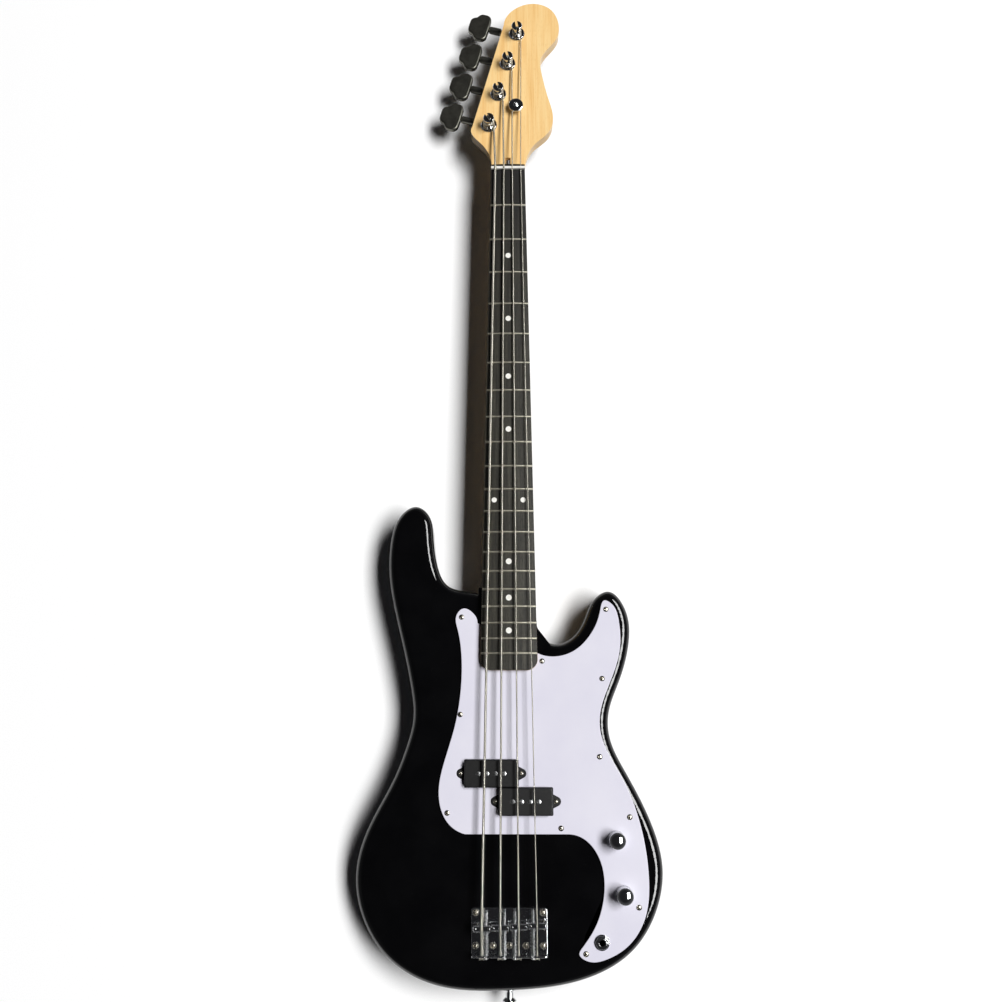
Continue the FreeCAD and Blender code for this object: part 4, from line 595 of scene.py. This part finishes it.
# Knobs: a barrel with straight knurling round its side, a smooth dome and a hollow underside, on the
# control's shaft. The dome is a cap of a sphere, and the side draws in by the taper's share of the radius
knob = {"radius": 9.25, "height": 17.5, "sideShare": 0.78, "taper": 0.05, "cap": 14.0, "flutes": 48,
        "depth": 0.3, "z": 49.6, "hollow": 7.4, "roof": 4.7, "shaft": 3.0, "shaftZ": (39.0, 61.6),
        "shaftColumns": 32, "places": {"volume": (113, -219), "tone": (119.5, -273.5)}}
columns = knob["flutes"] * 4
angle = turn * np.arange(columns) / columns
rim, sideTop = knob["radius"], knob["sideShare"] * knob["height"]
topRim = (1 - knob["taper"]) * rim
side = np.linspace(1.0, sideTop - 0.8, 8)
dome = np.linspace(8.2, 0.3, 12)
foot = [0.4, knob["hollow"], knob["hollow"], 8.9, rim, rim]
footHeight = [knob["roof"], knob["roof"], 0.0, 0.0, 0.35, 0.9]
shoulder, shoulderHeight = [topRim, topRim, 8.72, 8.5], [sideTop - 0.7, sideTop, 14.2, 14.6]
domeHeight = knob["height"] - knob["cap"] + np.sqrt(knob["cap"] ** 2 - dome ** 2)
radius = np.concatenate([foot, rim - knob["taper"] * rim * side / sideTop, shoulder, dome])
height = np.concatenate([footHeight, side, shoulderHeight, domeHeight])
knurled = np.concatenate([np.zeros(len(foot)), np.ones(len(side)), np.zeros(len(shoulder) + len(dome))])
flute = 0.5 - 0.5 * np.cos(knob["flutes"] * angle)
radius = radius[:, None] - knob["depth"] * knurled[:, None] * flute
low, high = knob["shaftZ"]
shaftRadius = [0.3, knob["shaft"] - 0.1, knob["shaft"], knob["shaft"], knob["shaft"] - 0.4, 0.3]
shaftHeight = [low, low, low + 0.3, high - 0.4, high, high]
for name, spot in knob["places"].items():
    shells = [turnedShell(radius, height, columns, (*spot, knob["z"])),
              turnedShell(shaftRadius, shaftHeight, knob["shaftColumns"], (*spot, 0))]
    piece = makePiece(name + "_knob_knurled", "chrome", shells)
    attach(piece, name + "_control")
    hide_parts(name + "_knob")
print("knobs turned")

# Inlays: a disc in each marked fret's space, two wide apart at the octave, and small ones in the board's
# edge. Plugs of board wood fill the two pockets that stand closer together at the octave. All follow the
# camber: the height falls by the square of x over twice the camber's radius
inlay = {"frets": (3, 5, 7, 9, 15, 17, 19), "octave": 12, "reach": 16.4, "radius": 3.28, "octaveRadius": 2.95,
         "deep": 1.8, "proud": 0.04, "columns": 40, "pocketReach": 10.5, "pocketRadius": 3.34,
         "scale": 864.0, "nutY": 568.0, "topZ": 56.0, "camber": 240.0,
         "sideRadius": 1.1, "sideStep": 3.5, "sideZ": 52.26, "sideDeep": 2.0, "sideColumns": 24,
         "halfNut": 20.75, "halfEnd": 31.4, "endY": -41.857}


# halfway between a fret and the one before it; each fret leaves a twelfth root of a half of the string
def fretMiddle(n):
    stops = [inlay["nutY"] - inlay["scale"] * (1 - 2 ** (-k / 12)) for k in (n, n - 1)]
    return sum(stops) / 2


def inlayShell(x, y, radius, deep, proud):
    rings = [0.1, radius, radius, 0.7 * radius, 0.35 * radius, 0.05]
    heights = [-deep, -deep, proud, proud, proud, proud]
    shell = turnedShell(rings, heights, inlay["columns"], (x, y, inlay["topZ"]))
    shell[..., 2] -= shell[..., 0] ** 2 / (2 * inlay["camber"])
    return shell


octaveY = fretMiddle(inlay["octave"])
discs = [inlayShell(0, fretMiddle(n), inlay["radius"], inlay["deep"], 0.0) for n in inlay["frets"]]
plugs = []
for side in (-1, 1):
    discs.append(inlayShell(side * inlay["reach"], octaveY, inlay["octaveRadius"], 0.0, inlay["proud"]))
    plugs.append(inlayShell(side * inlay["pocketReach"], octaveY, inlay["pocketRadius"], inlay["deep"], 0.0))
edgeRows = [fretMiddle(n) for n in inlay["frets"]]
edgeRows += [octaveY - inlay["sideStep"], octaveY + inlay["sideStep"]]
edgeRings = [0.05, inlay["sideRadius"], inlay["sideRadius"], 0.05]
edgeDepths = [-inlay["proud"], -inlay["proud"], inlay["sideDeep"], inlay["sideDeep"]]
for y in edgeRows:
    taper = (inlay["nutY"] - y) / (inlay["nutY"] - inlay["endY"])
    edgeX = -inlay["halfNut"] - (inlay["halfEnd"] - inlay["halfNut"]) * taper
    seat = (edgeX, y, inlay["sideZ"])
    discs.append(turnedShell(edgeRings, edgeDepths, inlay["sideColumns"], seat, (1, 0, 0)))
for name, slotName, shells in (("inlay_discs", "ivory", discs), ("octave_plugs", "board", plugs)):
    piece = makePiece(name, slotName, shells)
    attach(piece, "instrument")
    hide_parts("position_dots")
print("inlays set")

# String retainer: a turned disc with a dished top on a waisted stem, held by a cross-head screw
retainer = {"place": (10.0, 660.0, 46.1), "columns": 48, "seat": 8.7, "spin": 0.5,
            "radius": (1.5, 4.0, 3.9, 3.05, 3.0, 3.0, 3.3, 8.8, 9.2, 9.2, 8.9, 8.1, 5.6, 3.6, 1.5),
            "height": (0.0, 0.0, 0.4, 1.3, 2.0, 6.2, 6.5, 6.5, 6.75, 7.7, 8.2, 8.55, 8.7, 8.7, 8.6),
            "screw": {"head": 3.2, "rim": 0.4, "top": 1.4, "shank": 1.4, "length": 20.0, "pitch": 1.2,
                      "point": 4.0, "recess": 0.9}}
disc = turnedShell(retainer["radius"], retainer["height"], retainer["columns"], retainer["place"])
seat = np.array(retainer["place"]) + (0, 0, retainer["seat"])
screw = screwShell(retainer["screw"], seat, (0, 0, 1), retainer["spin"])
piece = makePiece("string_retainer", "chrome", [disc, screw])
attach(piece, "instrument")
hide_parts("string_tree")
print("retainer set")


# 1 for rays from the eye, straight, mirrored or through glass, and 0 for those that matt things scatter
def seenRay(tree):
    ray = addNode(tree, "ShaderNodeLightPath", {}).outputs
    pair = {0: ray["Is Glossy Ray"], 1: ray["Is Transmission Ray"]}
    bent = addNode(tree, "ShaderNodeMath", pair, operation="MAXIMUM").outputs[0]
    return addNode(tree, "ShaderNodeMath", {0: ray["Is Camera Ray"], 1: bent}, operation="MAXIMUM").outputs[0]


# White sheet that the bass lies on: matt, with the faint tooth of card; matt things nearby get less light
# from it than the eye
sheet = {"reach": 5.0, "ink": "#FEFEFE", "tint": "#FAFAFA", "tooth": 1.2, "dim": "#363636",
         "roughness": 0.9, "specular": 0.1}
material, tree, shader, place = startMaterial("matteWhiteCard")
tooth = patches(tree, place, sheet["tooth"], sheet["tooth"], sheet["tooth"])
paper = shades(tree, tooth, (0.4, sheet["ink"]), (0.65, sheet["tint"]))
eitherWay = {0: seenRay(tree), 6: inkOf(sheet["dim"]), 7: paper}
paper = addNode(tree, "ShaderNodeMix", eitherWay, data_type="RGBA").outputs[2]
tree.links.new(paper, shader.inputs["Base Color"])
shader.inputs["Roughness"].default_value = sheet["roughness"]
shader.inputs["Specular IOR Level"].default_value = sheet["specular"]
mesh = bpy.data.meshes.new("floor")
reach = sheet["reach"]
corners = [(-reach, -reach, 0), (reach, -reach, 0), (reach, reach, 0), (-reach, reach, 0)]
mesh.from_pydata(corners, [], [(0, 1, 2, 3)])
mesh.materials.append(material)
floor = bpy.data.objects.new("floor", mesh)
bpy.context.scene.collection.objects.link(floor)

# One long soft box high on the right, set along the neck, so that shadows blur most lengthwise
lamp = {"tilt": 33.0, "away": 12.0, "ahead": 0.8, "across": 3.9, "along": 9.6, "power": 2080.0}
light = bpy.data.lights.new("softBox", "AREA")
light.shape, light.energy = "RECTANGLE", lamp["power"]
light.size, light.size_y = lamp["across"], lamp["along"]
softBox = bpy.data.objects.new("softBox", light)
bpy.context.scene.collection.objects.link(softBox)
lean = Matrix.Rotation(math.radians(lamp["tilt"]), 4, "Y")
ahead, away = Matrix.Translation((0, lamp["ahead"], 0)), Matrix.Translation((0, 0, lamp["away"]))
softBox.matrix_world = ahead @ lean @ away

# A dim room, paler at the horizon, so that flat gloss stays black; mirrored rays see a somewhat lighter one
room = {"low": 0.1, "high": 0.7, "matt": ("#3A3A3C", "#0E0E0F"), "mirrored": ("#6E6E70", "#242426")}
world = bpy.data.worlds.new("room")
bpy.context.scene.world = world
world.use_nodes = True
tree = world.node_tree
tree.nodes.clear()
way = addNode(tree, "ShaderNodeTexCoord", {}).outputs["Generated"]
lift = addNode(tree, "ShaderNodeSeparateXYZ", {0: way}).outputs["Z"]
walls = [shades(tree, lift, (room["low"], room[key][0]), (room["high"], room[key][1]))
         for key in ("matt", "mirrored")]
eitherWay = {0: seenRay(tree), 6: walls[0], 7: walls[1]}
wall = addNode(tree, "ShaderNodeMix", eitherWay, data_type="RGBA").outputs[2]
back = addNode(tree, "ShaderNodeBackground", {"Color": wall, "Strength": 1.0})
addNode(tree, "ShaderNodeOutputWorld", {"Surface": back.outputs[0]})

# Camera above the body, tipped up the neck, with a lens as long as the sensor is wide
view = {"place": (0.0011, -0.1174, 1.160), "tilt": 13.49, "yaw": 0.55, "roll": -0.12,
        "lens": 36.0, "sensor": 36.0}
camera = bpy.data.objects.new("camera", bpy.data.cameras.new("camera"))
bpy.context.scene.collection.objects.link(camera)
camera.data.lens, camera.data.sensor_width = view["lens"], view["sensor"]
camera.data.sensor_fit = "HORIZONTAL"
tilt, yaw, roll = [Matrix.Rotation(math.radians(view[key]), 4, axis)
                   for key, axis in (("tilt", "X"), ("yaw", "Y"), ("roll", "Z"))]
camera.matrix_world = Matrix.Translation(view["place"]) @ tilt @ yaw @ roll
bpy.context.scene.camera = camera
bpy.context.scene.view_settings.view_transform = "Standard"
print("light and camera set")
